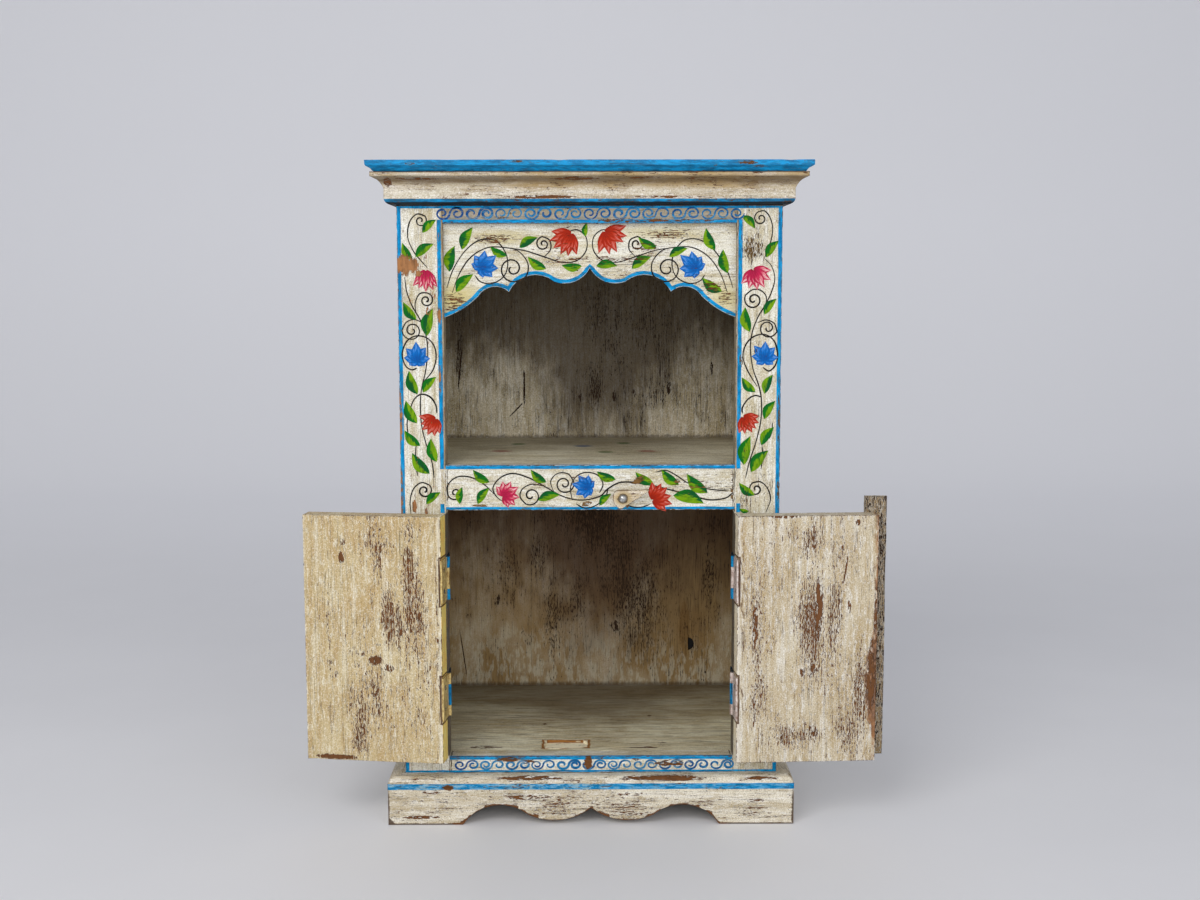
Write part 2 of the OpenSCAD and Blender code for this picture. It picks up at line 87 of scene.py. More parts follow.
def add_camera():
    """The photograph's viewpoint, fitted to the cupboard's corners."""
    forward = Vector((math.sin(YAW) * math.cos(PITCH), math.cos(YAW) * math.cos(PITCH), math.sin(PITCH)))
    level = Vector((math.cos(YAW), -math.sin(YAW), 0))
    upright = level.cross(forward)
    right = level * math.cos(ROLL) + upright * math.sin(ROLL)
    up = upright * math.cos(ROLL) - level * math.sin(ROLL)
    camera = linked("camera", bpy.data.cameras.new("camera"))
    camera.data.sensor_width = 36
    camera.data.lens = FOCAL_PX / IMAGE_WIDTH_PX * camera.data.sensor_width
    turn = Matrix((right, up, -forward)).transposed().to_4x4()
    camera.matrix_world = Matrix.Translation(CAMERA_AT) @ turn
    bpy.context.scene.camera = camera


def add_stage():
    """A pale floor that turns up into a pale backdrop behind the cupboard."""
    width, front, back, height, bend = 18.0, -4.0, 3.2, 5.0, 0.8
    arc = [math.radians(90 * step / 12) for step in range(13)]
    profile = [(front, 0), *((back - bend + bend * math.sin(t), bend * (1 - math.cos(t))) for t in arc),
               (back, height)]
    mesh = bpy.data.meshes.new("floor")
    verts = [(x, y, z) for y, z in profile for x in (-width / 2, width / 2)]
    faces = [(2 * i, 2 * i + 1, 2 * i + 3, 2 * i + 2) for i in range(len(profile) - 1)]
    mesh.from_pydata(verts, [], faces)
    mesh.polygons.foreach_set("use_smooth", [True] * len(faces))
    look = Look("floor")
    place = look.put("TexCoord", {}, "Object")
    tone = look.noise(place, 3.0, 3).mix((0.90, 0.90, 0.91), (0.93, 0.93, 0.94))
    tone = tone.coats((look.split(place)[1].ramp(0.6, 2.6), (0.99, 0.99, 1.0)))
    mesh.materials.append(look.finish(Base_Color=tone, Roughness=0.6))
    floor = linked("floor", mesh)


def add_lamp(name, place, size, power, colour):
    lamp = linked(name, bpy.data.lights.new(name, "AREA"))
    lamp.data.size, lamp.data.energy, lamp.data.color = size, power, colour
    lamp.location = place
    aim = Vector((0, 0, 0.4)) - Vector(place)
    lamp.rotation_euler = aim.to_track_quat("-Z", "Y").to_euler()


def add_light():
    """Even daylight from the front and above."""
    world = bpy.data.worlds.new("world")
    world.use_nodes = True
    background = world.node_tree.nodes["Background"].inputs
    background["Color"].default_value = srgb(0.96, 0.97, 1.0)
    background["Strength"].default_value = 0.42
    bpy.context.scene.world = world
    add_lamp("key", (-1.3, -2.6, 2.3), 1.8, 42, (1.0, 0.985, 0.96))
    add_lamp("fill", (1.6, -2.6, 1.2), 1.8, 18, (0.97, 0.985, 1.0))
    add_lamp("front", (-0.2, -3.4, 1.1), 1.2, 18, (0.99, 0.99, 1.0))
    bpy.context.scene.view_settings.view_transform = "Standard"


# ---- Node trees ----


def srgb(red, green, blue):
    """A colour written as it shows on a screen, as Blender stores it."""
    def linear(value):
        return value / 12.92 if value <= 0.04045 else ((value + 0.055) / 1.055) ** 2.4
    return (linear(red), linear(green), linear(blue), 1)


class Wire:
    """What flows out of a node. Sums, products and mixes made with it add nodes to its tree."""

    def __init__(self, look, socket):
        self.look, self.socket = look, socket

    def __add__(self, other):
        return self.look.math("ADD", self, other)

    def __sub__(self, other):
        return self.look.math("SUBTRACT", self, other)

    def __rsub__(self, other):
        return self.look.math("SUBTRACT", other, self)

    def __mul__(self, other):
        return self.look.math("MULTIPLY", self, other)

    def __abs__(self):
        return self.look.math("ABSOLUTE", self)

    def least(self, other):
        return self.look.math("MINIMUM", self, other)

    def most(self, other):
        return self.look.math("MAXIMUM", self, other)

    def around(self, gain):
        """A share from 0 to 1, as a swing of gain about 0."""
        return (self - 0.5) * gain

    def ramp(self, low, high, start=0.0, end=1.0):
        """A smooth step from start to end as this goes from low to high."""
        inputs = {"Value": self, "From Min": low, "From Max": high, "To Min": start, "To Max": end}
        return self.look.put("MapRange", inputs, interpolation_type="SMOOTHSTEP")

    def mix(self, a, b):
        """From a to b as this goes from 0 to 1."""
        return self.look.mix(self, a, b)

    def coats(self, *coats):
        """This paint under others, given as (mask, colour)."""
        colour = self
        for mask, other in coats:
            colour = self.look.mix(mask, colour, other)
        return colour

    def tinted(self, colour):
        return self.look.mix(1.0, self, colour, "MULTIPLY")

    def bump(self, depth):
        """A surface with this height, in shares of depth."""
        return self.look.put("Bump", {"Strength": 1.0, "Distance": depth * MM, "Height": self}, "Normal")


class Look:
    """Builds one material's nodes."""

    def __init__(self, name):
        self.material = bpy.data.materials.new(name)
        self.material.use_nodes = True
        self.tree = self.material.node_tree
        self.shader = self.tree.nodes["Principled BSDF"]

    def feed(self, socket, value):
        if isinstance(value, Wire):
            self.tree.links.new(value.socket, socket)
        else:
            socket.default_value = value

    def put(self, kind, inputs, out=0, **settings):
        node = self.tree.nodes.new("ShaderNode" + kind)
        for key, value in settings.items():
            setattr(node, key, value)
        for key, value in inputs.items():
            self.feed(node.inputs[key], value)
        return Wire(self, node.outputs[out])

    def math(self, operation, a, b=0.0):
        return self.put("Math", {0: a, 1: b}, operation=operation)

    def noise(self, vector, scale, detail=3.0, roughness=0.55):
        inputs = {"Vector": vector, "Scale": scale, "Detail": detail, "Roughness": roughness}
        return self.put("TexNoise", inputs)

    def stretch(self, vector, scale, place=(0, 0, 0), turn=(0, 0, 0)):
        inputs = {"Vector": vector, "Location": place, "Rotation": turn, "Scale": scale}
        return self.put("Mapping", inputs)

    def mix(self, factor, a, b, blend="MIX"):
        a, b = (srgb(*paint) if isinstance(paint, tuple) else paint for paint in (a, b))
        return self.put("Mix", {0: factor, 6: a, 7: b}, 2, data_type="RGBA", blend_type=blend)

    def split(self, vector):
        axes = self.put("SeparateXYZ", {0: vector}).socket.node.outputs
        return [Wire(self, axis) for axis in axes]

    def finish(self, **inputs):
        """Feeds the shader's inputs, named with _ for a space, and ends the material."""
        for name, value in inputs.items():
            self.feed(self.shader.inputs[name.replace("_", " ")], value)
        return self.material


# ---- Tones: a paint's own colour, its stained colour and its rubbed colour ----

WHITE = (1, 1, 1)
CREAM = (0.94, 0.93, 0.87), (0.73, 0.66, 0.46), (0.98, 0.98, 0.96)
# The top rail's cream is paler than the others: painted light that makes up for the shade under the cornice.
LIT_RAIL_CREAM = (1.0, 1.0, 0.97), (0.86, 0.82, 0.66), WHITE
CORNICE_CREAM = (0.87, 0.84, 0.76), (0.58, 0.47, 0.28), (0.97, 0.95, 0.92)
LEFT_DOOR_CREAM = (0.84, 0.765, 0.59), (0.72, 0.58, 0.34), (0.96, 0.94, 0.86)
RIGHT_DOOR_CREAM = (0.85, 0.80, 0.69), (0.70, 0.59, 0.39), (0.95, 0.94, 0.91)
PLINTH_CREAM = (0.93, 0.90, 0.82), (0.66, 0.57, 0.38), (0.97, 0.96, 0.93)
UPPER_BACK = (0.90, 0.86, 0.76), (0.70, 0.63, 0.45), (0.97, 0.96, 0.92)
# The shelf's tone is paler than the cream: painted light that makes up for the shade it lies in.
LIT_SHELF_TONE = (1.0, 0.98, 0.88), (0.82, 0.76, 0.58), (0.98, 0.96, 0.90)
FLOOR_GREY = (1.0, 0.99, 0.88), (0.78, 0.69, 0.47), (0.98, 0.96, 0.88)
STRIP_GREY = (0.60, 0.52, 0.38), (0.48, 0.38, 0.22), (0.84, 0.82, 0.77)
BUTTON_CREAM = (0.93, 0.89, 0.80), (0.80, 0.70, 0.53), (0.97, 0.95, 0.91)
BARE_BROWN, BARE_TAN, BARE_DARK = (0.44, 0.28, 0.15), (0.66, 0.46, 0.29), (0.22, 0.15, 0.09)


# ---- Doors turned shut, and boards ----


def opening(joint, side):
    """The turn in millimetres that brings a shut door's parts to where they stand open."""
    axis = Vector(joints[joint]["pos_m"]) / MM
    angle = side * math.radians(joints[joint]["range_deg"][1])
    return Matrix.Translation(axis) @ Matrix.Rotation(angle, 4, "Z") @ Matrix.Translation(-axis)


POSES = {"cabinet": Matrix.Identity(4), "turn_button": Matrix.Identity(4),
         "left_door": opening("left_door_hinge", -1), "right_door": opening("right_door_hinge", 1)}


def spots(level, depth, flat, rows):
    """Places on one face: rows of (a, b, half width, half height, strength, degrees turned) on it."""
    made = []
    for a, b, half_a, half_b, strength, *turned in rows:
        turn = math.radians(turned[0]) if turned else 0.0
        if flat == "y":
            made.append(((a, level, b), (half_a, depth, half_b), (0, -turn, 0), strength))
        else:
            made.append(((a, b, level), (half_a, half_b, depth), (0, 0, turn), strength))
    return made


class Board:
    """One painted board: where it is, how its grain runs and where its paint is worn."""

    body, slot, tone, bare = "cabinet", "cream_paint", CREAM, BARE_BROWN
    paint, curved, joined = None, False, ()
    # How worn the paint is, how bare its arrises are, how wide they are eased, how deep they are
    # knocked in, and how much the paint is cracked.
    wear, edge, ease, knock, cracks = 0.2, 1.0, 0.7, 1.0, 0.5
    # The face that bare marks and dense specks lie on, and their rows, as spots takes them.
    face, marks, specks = (FACE, 5, "y"), (), ()

    def __init__(self, node, grain, **facts):
        self.node, self.grain = node, grain
        self.__dict__.update(facts)
        self.marks, self.specks = (spots(*self.face, rows) for rows in (self.marks, self.specks))
        self.pose = POSES[self.body]
        shut = self.pose.inverted()
        own, whole = ([shut @ (v.co / MM) for name in names for v in nodes[name].data.vertices]
                      for names in ((node,), (node, *self.joined)))
        self.low = Vector([min(corner[i] for corner in whole) for i in range(3)])
        self.high = Vector([max(corner[i] for corner in whole) for i in range(3)])
        ends = min(corner.x for corner in own), max(corner.x for corner in own)
        self.joints = [x for x in ends if self.low.x + 1 < x < self.high.x - 1]
        self.seed = Vector((len(node) * 17.3, self.low.x, self.low.z))

    def glued(self, *places):
        """Whether places lie on the joint to the plank that this one is glued to."""
        return any(all(abs(place.x - x) < 0.1 for place in places) for x in self.joints)

    def knocked(self, place):
        """How far the arris has been worn in at a place."""
        rough = 0.16 + 0.22 * noise.noise(place / 9 + self.seed)
        dent = max(0, noise.noise(place / 21 - self.seed) - 0.30) * 3.2
        return self.knock * min(1.1, max(0, rough) + dent)


# ---- The worn paint that every board shares ----


def edge_gap(board, axes):
    """Distance from the board's nearest arris."""
    a, b, c = ((high - low) / 2 - abs(axis - (low + high) / 2)
               for axis, low, high in zip(axes, board.low, board.high))
    return a.least(b).most(a.most(b).least(c))


class Worn:
    """The masks and the height shared by everything painted on one board."""

    def __init__(self, name, board):
        self.look, self.board = look, board = Look(name), board
        back = board.pose.inverted()
        place = look.put("TexCoord", {}, "Object")
        place = look.stretch(place, (1 / MM,) * 3, back.to_translation(), back.to_euler())
        self.place, self.axes = place, look.split(place)
        along = "xyz".index(board.grain)

        def grained(size, length, seed, detail, roughness=0.55):
            """Noise drawn out along the grain."""
            scale = [1 / size] * 3
            scale[along] = 1 / length
            return look.noise(look.stretch(place, scale, (seed, seed * 0.7, -seed)), 1, detail, roughness)

        self.cloud = cloud = grained(60, 110, 3, 3)
        self.patch = patch = grained(11, 30, 7, 5, 0.62)
        speck = grained(1.2, 5.5, 11, 3, 0.6)
        self.fleck = fleck = grained(3.4, 13, 19, 5, 0.68)
        self.grain = grained(0.5, 20, 23, 3, 0.65)
        self.hair = grained(0.8, 34, 29, 2, 0.5)
        self.band = grained(7, 150, 41, 3, 0.6)
        self.grit = look.noise(look.stretch(place, (1 / 1.3,) * 3), 1, 3, 0.7)

        rim = (edge_gap(board, self.axes) + fleck.around(7.0)).ramp(0.1, 2.2, board.edge, 0.0)
        if board.curved:
            self.arris = look.put("Attribute", {}, "Fac", attribute_name="arris")
            strength = abs(self.axes[0]).ramp(150, 158, 1.7, 0.5)
            rim = rim.most((self.arris + fleck.around(0.8)).ramp(0.66, 0.92, 0.0, strength))

        soft = patch.around(1.2) + fleck.around(1.0)
        dense = cloud.around(0.9) + patch.around(1.3) + board.wear
        self.dense = dense = dense + self.reached(board.specks, soft, -0.4, 1.75)
        mottle = speck * 0.6 + fleck * 0.12 + self.hair * 0.28
        dots = mottle - dense.ramp(-0.1, 1.1, 0.635, 0.475)
        ragged = patch.around(1.5) + fleck.around(1.2) + speck.around(1.6)
        bare = (rim * 0.9).most(self.reached(board.marks, ragged)) + (patch.around(0.5) + board.wear * 0.6)
        flakes = speck * 0.35 + fleck * 0.65 - (0.74 - bare * 0.27)
        self.over = over = dots.most(flakes)
        self.chip, self.primer = over.ramp(0.0, 0.012), over.ramp(-0.035, -0.008)

        line = abs(grained(9, 260, 31, 2, 0.5) - 0.5).ramp(0.002, 0.006, 1.0, 0.0)
        self.crack = line * (grained(30, 60, 37, 2).ramp(0.52, 0.62) * board.cracks)
        pepper = self.grit.ramp(0.37, 0.31) * patch.ramp(0.42, 0.60, 0.15, 0.9)
        self.dirt = pepper.most(self.hair.ramp(0.595, 0.64) * patch.ramp(0.40, 0.60, 0.1, 0.7))
        deep = look.mix(0.5, board.bare, (0.20, 0.13, 0.07))
        brown = fleck.ramp(0.36, 0.60).mix(deep, board.bare)
        self.brown = over.ramp(0.0, 0.04).mix((0.20, 0.14, 0.09), brown)
        self.height = self.chip * -1 + self.crack * -1 + (self.grain.around(0.35) + self.grit.around(0.5))

    def reached(self, marks, ragged, core=0.5, end=1.12):
        """How strongly marks, as (centre, reach, turn, strength), cover a point: 0 for not at all.

        A mark's strength falls off between the shares core and end of its reach.
        """
        total = 0.0
        for centre, reach, turn, strength in marks:
            inputs = {"Vector": self.place, "Location": centre, "Rotation": turn, "Scale": reach}
            off = self.look.put("Mapping", inputs, vector_type="TEXTURE")
            near = self.look.put("VectorMath", {0: off}, "Value", operation="LENGTH")
            spot = (near + ragged).ramp(core, end, strength, 0.0)
            total = spot.most(total) if total else spot
        return total

    def finish(self, pigment, shine=0.3):
        """Puts a pigment under the shared chips, cracks and grit, and ends the material."""
        colour = pigment.tinted(self.grain.ramp(0.30, 0.50).mix((0.86, 0.84, 0.80), WHITE)).coats(
            (self.dirt * 0.3, (0.20, 0.16, 0.11)), (self.crack, (0.2, 0.15, 0.1)), (self.chip, self.brown))
        return self.look.finish(Base_Color=colour, Roughness=self.chip.ramp(0.0, 1.0, 0.58, 0.85),
                                Normal=self.height.bump(0.3), Specular_IOR_Level=shine)


def cream(worn):
    """Cream paint, ochre where it is stained, paler where it is rubbed, gritty and finely cracked."""
    tone, ochre, pale = worn.board.tone
    halo = worn.dense + worn.fleck.around(2.2)
    return worn.cloud.ramp(0.40, 0.66, 0.0, 0.5).mix(tone, ochre).coats(
        (worn.patch.ramp(0.50, 0.64, 0.0, 0.45), ochre),
        (worn.band.ramp(0.50, 0.62, 0.0, 0.45), ochre),
        (worn.band.ramp(0.46, 0.36, 0.0, 0.4), pale),
        (worn.dense.ramp(0.3, 1.0, 0.0, 0.8), ochre),
        (halo.ramp(0.75, 1.3, 0.0, 0.75), (0.52, 0.36, 0.18)),
        (worn.fleck.ramp(0.48, 0.34, 0.0, 0.7), pale),
        (worn.grit.ramp(0.30, 0.60, 0.5, 0.0), (0.56, 0.47, 0.32)),
        (worn.grit.ramp(0.56, 0.68, 0.0, 0.5), WHITE),
        (worn.dirt * 0.75, (0.34, 0.26, 0.17)),
        (worn.primer * 0.7, pale))


# ---- Boards with eased and knocked arrises ----

# The widest slice that a board is cut into, and the length under which an edge belongs to a bore.
SLICE, SHORTEST_EDGE = 9.0, 0.6
# Angles between two faces: taken for one face, eased, knocked in, and shaded as sharp from there.
LEVEL, EASED, KNOCKED, SHARP = (math.radians(angle) for angle in (0.5, 35, 12, 50))


def placed(bm, name, body, slot):
    """A piece made of bm, riding on a body."""
    mesh = bpy.data.meshes.new(name)
    bm.to_mesh(mesh)
    bm.free()
    piece = linked(name, mesh)
    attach(piece, body)
    return piece


def worn_copy(board):
    """A copy of a CAD board whose arrises are eased and knocked, standing for the board."""
    bm = bmesh.new()
    bm.from_mesh(nodes[board.node].data)
    bm.transform(board.pose.inverted() @ Matrix.Scale(1 / MM, 4))
    bmesh.ops.remove_doubles(bm, verts=bm.verts, dist=0.005)
    bmesh.ops.dissolve_limit(bm, angle_limit=LEVEL, verts=bm.verts, edges=bm.edges)
    tag = bm.verts.layers.int.new("bore")
    for v in {v for e in bm.edges if e.calc_length() < SHORTEST_EDGE for v in e.verts}:
        v[tag] = 1
    rng = random.Random(board.node)
    longest = max(board.high - board.low)
    for axis in range(3):
        size = board.high[axis] - board.low[axis]
        count = int(size / min(SLICE, longest / 16))
        for i in range(1, count):
            place, normal = Vector(), Vector()
            place[axis] = board.low[axis] + size * (i + rng.uniform(-0.25, 0.25)) / count
            normal[axis] = 1
            everything = list(bm.verts) + list(bm.edges) + list(bm.faces)
            bmesh.ops.bisect_plane(bm, geom=everything, plane_co=place, plane_no=normal, dist=0.02)
    sharp = [e for e in bm.edges if e.is_manifold and e.is_convex and e.calc_face_angle() > EASED
             and not any(v[tag] for v in e.verts) and not board.glued(*(v.co for v in e.verts))]
    bmesh.ops.bevel(bm, geom=sharp, offset=board.ease, offset_type="OFFSET", segments=2, profile=0.5,
                    affect="EDGES", clamp_overlap=True)
    arris = bm.verts.layers.float.new("arris")
    bm.normal_update()
    moves = []
    for v in bm.verts:
        turn = max((e.calc_face_angle(0) for e in v.link_edges), default=0)
        if turn > KNOCKED and not v[tag] and not board.glued(v.co):
            moves.append((v, v.normal * -board.knocked(v.co)))
    for v, move in moves:
        v.co += move
        v[arris] = 1
    for face in bm.faces:
        face.smooth = True
    for edge in bm.edges:
        edge.smooth = edge.calc_face_angle(0) < SHARP
    bm.transform(Matrix.Scale(MM, 4) @ board.pose)
    piece = placed(bm, board.node + "_worn", board.body, board.slot)
    worn = Worn(board.node, board)
    pigment = cream(worn)
    piece.data.materials.append(worn.finish(board.paint(worn, pigment) if board.paint else pigment))
    piece.modifiers.new("even", "WEIGHTED_NORMAL").keep_sharp = True
    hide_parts(board.node)


# ---- Pigments ----


def line_blue(worn):
    return worn.fleck.ramp(0.38, 0.60).mix((0.0, 0.45, 0.66), (0.0, 0.61, 0.86)).coats(
        (worn.patch.ramp(0.54, 0.68, 0.0, 0.6), (0.0, 0.34, 0.50)),
        (worn.grit.ramp(0.58, 0.70, 0.0, 0.35), (0.24, 0.76, 0.92)),
        (worn.over.ramp(-0.06, -0.005, 0.0, 0.35), (0.50, 0.62, 0.62)))


def rubbed_blue(worn):
    rubbed = worn.fleck.ramp(0.46, 0.60) * worn.cloud.ramp(0.40, 0.60, 0.25, 0.8)
    return line_blue(worn).coats((rubbed, (0.66, 0.76, 0.76)))


def scroll_blue(worn):
    return worn.patch.ramp(0.40, 0.60).mix((0.0, 0.26, 0.50), (0.06, 0.48, 0.70)).coats(
        (worn.fleck.ramp(0.44, 0.62, 0.0, 0.3), (0.30, 0.62, 0.78)),
        (worn.axes[0].ramp(-140, -124, 0.8, 0.0), (0.0, 0.22, 0.50)),
        (worn.over.ramp(-0.085, -0.01, 0.0, 0.5), (0.66, 0.70, 0.66)))


def vine_grey(worn):
    return worn.fleck.ramp(0.38, 0.68).mix((0.05, 0.05, 0.05), (0.20, 0.19, 0.17))


def stroke_place(worn):
    """Shares along and across a stroke."""
    return worn.look.split(worn.look.put("UVMap", {}, uv_map="stroke"))[:2]


def leaf_green(worn):
    across = stroke_place(worn)[1]
    dark = worn.patch.ramp(0.4, 0.6).mix((0.0, 0.33, 0.14), (0.02, 0.44, 0.06))
    bright = worn.fleck.ramp(0.35, 0.6).mix((0.30, 0.50, 0.0), (0.47, 0.64, 0.02))
    return (across + worn.fleck.around(1.2)).ramp(0.42, 0.62).mix(dark, bright)


def petal_paint(worn):
    """A petal's tint, deeper at its root, its veins and its outline, and paler towards its tip."""
    put = worn.look.put
    along, across = stroke_place(worn)
    tint = put("Attribute", {}, attribute_name="tint")
    whiteness = put("Attribute", {}, "Alpha", attribute_name="tint")
    brush = put("CombineXYZ", {0: along * 1.2, 1: across * 4.5, 2: worn.cloud})
    brush = worn.look.noise(brush, 1.6, 3, 0.6)
    deep = tint.tinted((0.72, 0.60, 0.70))
    light = brush.ramp(0.46, 0.58) * along.ramp(0.3, 0.75)
    outline = abs(across - 0.5).ramp(0.42, 0.48) * along.ramp(0.2, 0.6, 0.25, 0.65)
    return tint.coats((along.ramp(0.05, 0.6, 0.7, 0.0), deep), (brush.ramp(0.44, 0.54, 0.5, 0.0), deep),
                      (light * whiteness, (1, 0.97, 0.93)), (outline, deep))


# ---- Painted strokes: thin closed films on a board's face ----

# How far a film stands off the face, reaches into the board, and rises over the film before it.
FILM, SUNK, RISE = 0.2, 0.3, 0.003
LINE, LEAF, PETAL = 0, 1, 2


def face_frame(board, side):
    """The matrix from (a, b, out) on a face to the board's shut place."""
    columns, origin = {
        "front": (((1, 0, 0), (0, 0, 1), (0, -1, 0)), (0, board.low.y, 0)),
        "left": (((0, -1, 0), (0, 0, 1), (-1, 0, 0)), (board.low.x, 0, 0)),
        "right": (((0, 1, 0), (0, 0, 1), (1, 0, 0)), (board.high.x, 0, 0)),
    }[side]
    return Matrix.Translation(origin) @ Matrix(columns).transposed().to_4x4()


def heading(path, i):
    """The direction of a path at its point i, and the direction to its left."""
    before, after = path[max(0, i - 1)], path[min(len(path) - 1, i + 1)]
    along = Vector((after[0] - before[0], after[1] - before[1])).normalized()
    return along, along.orthogonal()


def taper(middle, half):
    """Five points across a stroke, from left to right."""
    return [tuple(middle + half * (1 - k / 2)) for k in range(5)]


class Film:
    """Strokes of paint on one face of a board, drawn in (a, b) millimetres on that face."""

    def __init__(self, board, name, pigments, side="front", slot="blue_paint"):
        self.board, self.name, self.pigments, self.slot = board, name, pigments, slot
        self.shut = face_frame(board, side)
        self.bm = bmesh.new()
        self.uv = self.bm.loops.layers.uv.new("stroke")
        self.tint = self.bm.verts.layers.float_color.new("tint")
        self.lift = FILM
        self.rng = random.Random(name)

    def shell(self, upper, lower, pigment, tint=(1, 1, 1, 1)):
        """A closed film between two grids of (a, b, out) points; a row lies across the stroke."""
        rows, columns = len(upper), len(upper[0])
        spot, grids = {}, []
        for grid in (upper, lower):
            verts = [[self.bm.verts.new(self.shut @ Vector(p)) for p in row] for row in grid]
            for i, row in enumerate(verts):
                for j, v in enumerate(row):
                    v[self.tint] = tint
                    spot[v] = (i / (rows - 1), j / (columns - 1))
            grids.append(verts)
        top, low = grids
        quads = []
        for i in range(rows - 1):
            for j in range(columns - 1):
                quads.append((top[i][j], top[i + 1][j], top[i + 1][j + 1], top[i][j + 1]))
                quads.append((low[i][j], low[i][j + 1], low[i + 1][j + 1], low[i + 1][j]))
        rims = [[(0, j) for j in range(columns)], [(rows - 1, j) for j in reversed(range(columns))],
                [(i, columns - 1) for i in range(rows)], [(i, 0) for i in reversed(range(rows))]]
        for rim in rims:
            for (i, j), (k, m) in zip(rim, rim[1:]):
                quads.append((top[i][j], top[k][m], low[k][m], low[i][j]))
        for quad in quads:
            made = self.bm.faces.new(quad)
            made.material_index = pigment
            for loop in made.loops:
                loop[self.uv].uv = spot[loop.vert]

    def sheet(self, rows, pigment=LINE, tint=(1, 1, 1, 1)):
        """A flat film over rows of (a, b) points, a little above the stroke before it."""
        self.lift += RISE
        upper, lower = ([[(a, b, out) for a, b in row] for row in rows] for out in (self.lift, -SUNK))
        self.shell(upper, lower, pigment, tint)

    def ribbon(self, path, width, swell=0.0):
        """A brush line along a path, fine at its ends and swelling towards the last of it."""
        rows = []
        last = len(path) - 1
        phase = self.rng.uniform(0, 50)
        for i, (a, b) in enumerate(path):
            share = i / last
            wide = width * (1.2 + 0.45 * noise.noise(Vector((i / 6, phase, 0))) + swell * share)
            wide *= min(1, 0.45 + share * 5, 0.35 + (1 - share) * last / 3)
            left = heading(path, i)[1] * wide / 2
            rows.append([(a - left.x, b - left.y), (a + left.x, b + left.y)])
        self.sheet(rows)

    def stripe(self, a0, b0, a1, b1):
        """A straight band drawn by hand: its long edges waver."""
        wide, tall = a1 - a0, b1 - b0
        count = max(2, int(max(wide, tall) / 6))
        phase = self.rng.uniform(0, 50)
        rows = []
        for i in range(count + 1):
            share = i / count
            low, high = (0.5 * noise.noise(Vector((i / 2.5, phase, seed))) for seed in (1, 9))
            if wide > tall:
                rows.append([(a0 + wide * share, b0 + low), (a0 + wide * share, b1 + high)])
            else:
                rows.append([(a0 + low, b0 + tall * share), (a1 + high, b0 + tall * share)])
        self.sheet(rows)

    def lap(self, path, width, under=3.0):
        """A line along an arris, lapping onto the face beyond it. The board lies left of the path."""
        self.lift += RISE
        out = self.lift
        inward = 0.0, 0.0, 0.7, 1.0, 0.6
        section = [(width, out, 0.5), (1.0, out, 1.0), (0.12, -0.12, 0.7), (-out, -1.0, 0.0),
                   (-out, -under, 0.0)]
        inner = [(width, -SUNK, 0.5), (1.3, -SUNK, 1.0), (0.6, -0.6, 0.7), (SUNK, -1.3, 0.0),
                 (SUNK, -under, 0.0)]
        upper, lower = [], []
        phase = self.rng.uniform(0, 50)
        for i, (a, b) in enumerate(path):
            along, left = heading(path, i)
            waver = 0.45 * noise.noise(Vector((i / 3, phase, 2)))
            dent = min(self.board.knocked(self.shut @ Vector((a + along.x * off, b + along.y * off, 0)))
                       for off in (-6, 0, 6))
            for grid, shape in ((upper, section), (lower, inner)):
                row = []
                for k, (off, height, sink) in enumerate(shape):
                    reach = off + dent * inward[k] + (waver if k == 0 else 0)
                    row.append((a + left.x * reach, b + left.y * reach, height - dent * sink))
                grid.append(row)
        self.shell(upper, lower, LINE)

    def leaf(self, base, tip, dark=1, width=0.43, bend=0.1):
        """A pointed leaf, dark on one side of its middle: 1 for the left side, -1 for the right."""
        along = tip - base
        across = along.orthogonal()
        rows = []
        for i in range(11):
            t = i / 10
            middle = base + along * t + across * (bend * math.sin(math.pi * t))
            half = across * (width / 2 * max(0.012, math.sin(math.pi * t ** 0.85) ** 0.95))
            rows.append(taper(middle, half)[::dark])
        self.sheet(rows, LEAF)

    def petal(self, root, angle, length, width, bend, tint):
        """A petal that swells to its widest and then closes to a point."""
        along = Vector((math.cos(angle), math.sin(angle))) * length
        across = along.orthogonal().normalized()
        widest = 0.46
        rows = []
        for i in range(15):
            t = i / 14
            middle = root + along * t + across * (bend * length * t * t)
            if t < widest:
                swell = math.sqrt(1 - 0.82 * ((widest - t) / widest) ** 2)
            else:
                swell = 1 - ((t - widest) / (1 - widest)) ** 1.3
            rows.append(taper(middle, across * (width / 2 * max(0.02, swell))))
        self.sheet(rows, PETAL, tint)

    def flower(self, root, size, angle, tint, petals, spread, fall, width):
        """Petals fanned from a root towards angle, in degrees anticlockwise from the right."""
        for k in sorted(range(petals), key=lambda k: -abs(k - (petals - 1) / 2)):
            share = 2 * k / (petals - 1) - 1
            turn = math.radians(angle + spread * share + self.rng.uniform(-4, 4))
            length = size * (1.0 - fall * abs(share) ** 1.2) * self.rng.uniform(0.93, 1.06)
            self.petal(root, turn, length, size * width, 0.10 * share, tint)

    def finish(self):
        self.bm.transform(Matrix.Scale(MM, 4) @ self.board.pose)
        bmesh.ops.recalc_face_normals(self.bm, faces=self.bm.faces)
        piece = placed(self.bm, self.name, self.board.body, self.slot)
        for pigment in self.pigments:
            worn = Worn(self.name, self.board)
            piece.data.materials.append(worn.finish(pigment(worn), 0.12))


# ---- Paths ----


def through(points, steps=5):
    """A smooth path through a few points."""
    padded = [points[0], *points, points[-1]]
    path = []
    for ends in zip(padded, padded[1:], padded[2:], padded[3:]):
        for t in (i / steps for i in range(steps)):
            path.append(tuple(0.5 * (2 * b + (c - a) * t + (2 * a - 5 * b + 4 * c - d) * t * t
                                     + (3 * b - a - 3 * c + d) * t ** 3) for a, b, c, d in zip(*ends)))
    return path + [tuple(points[-1])]


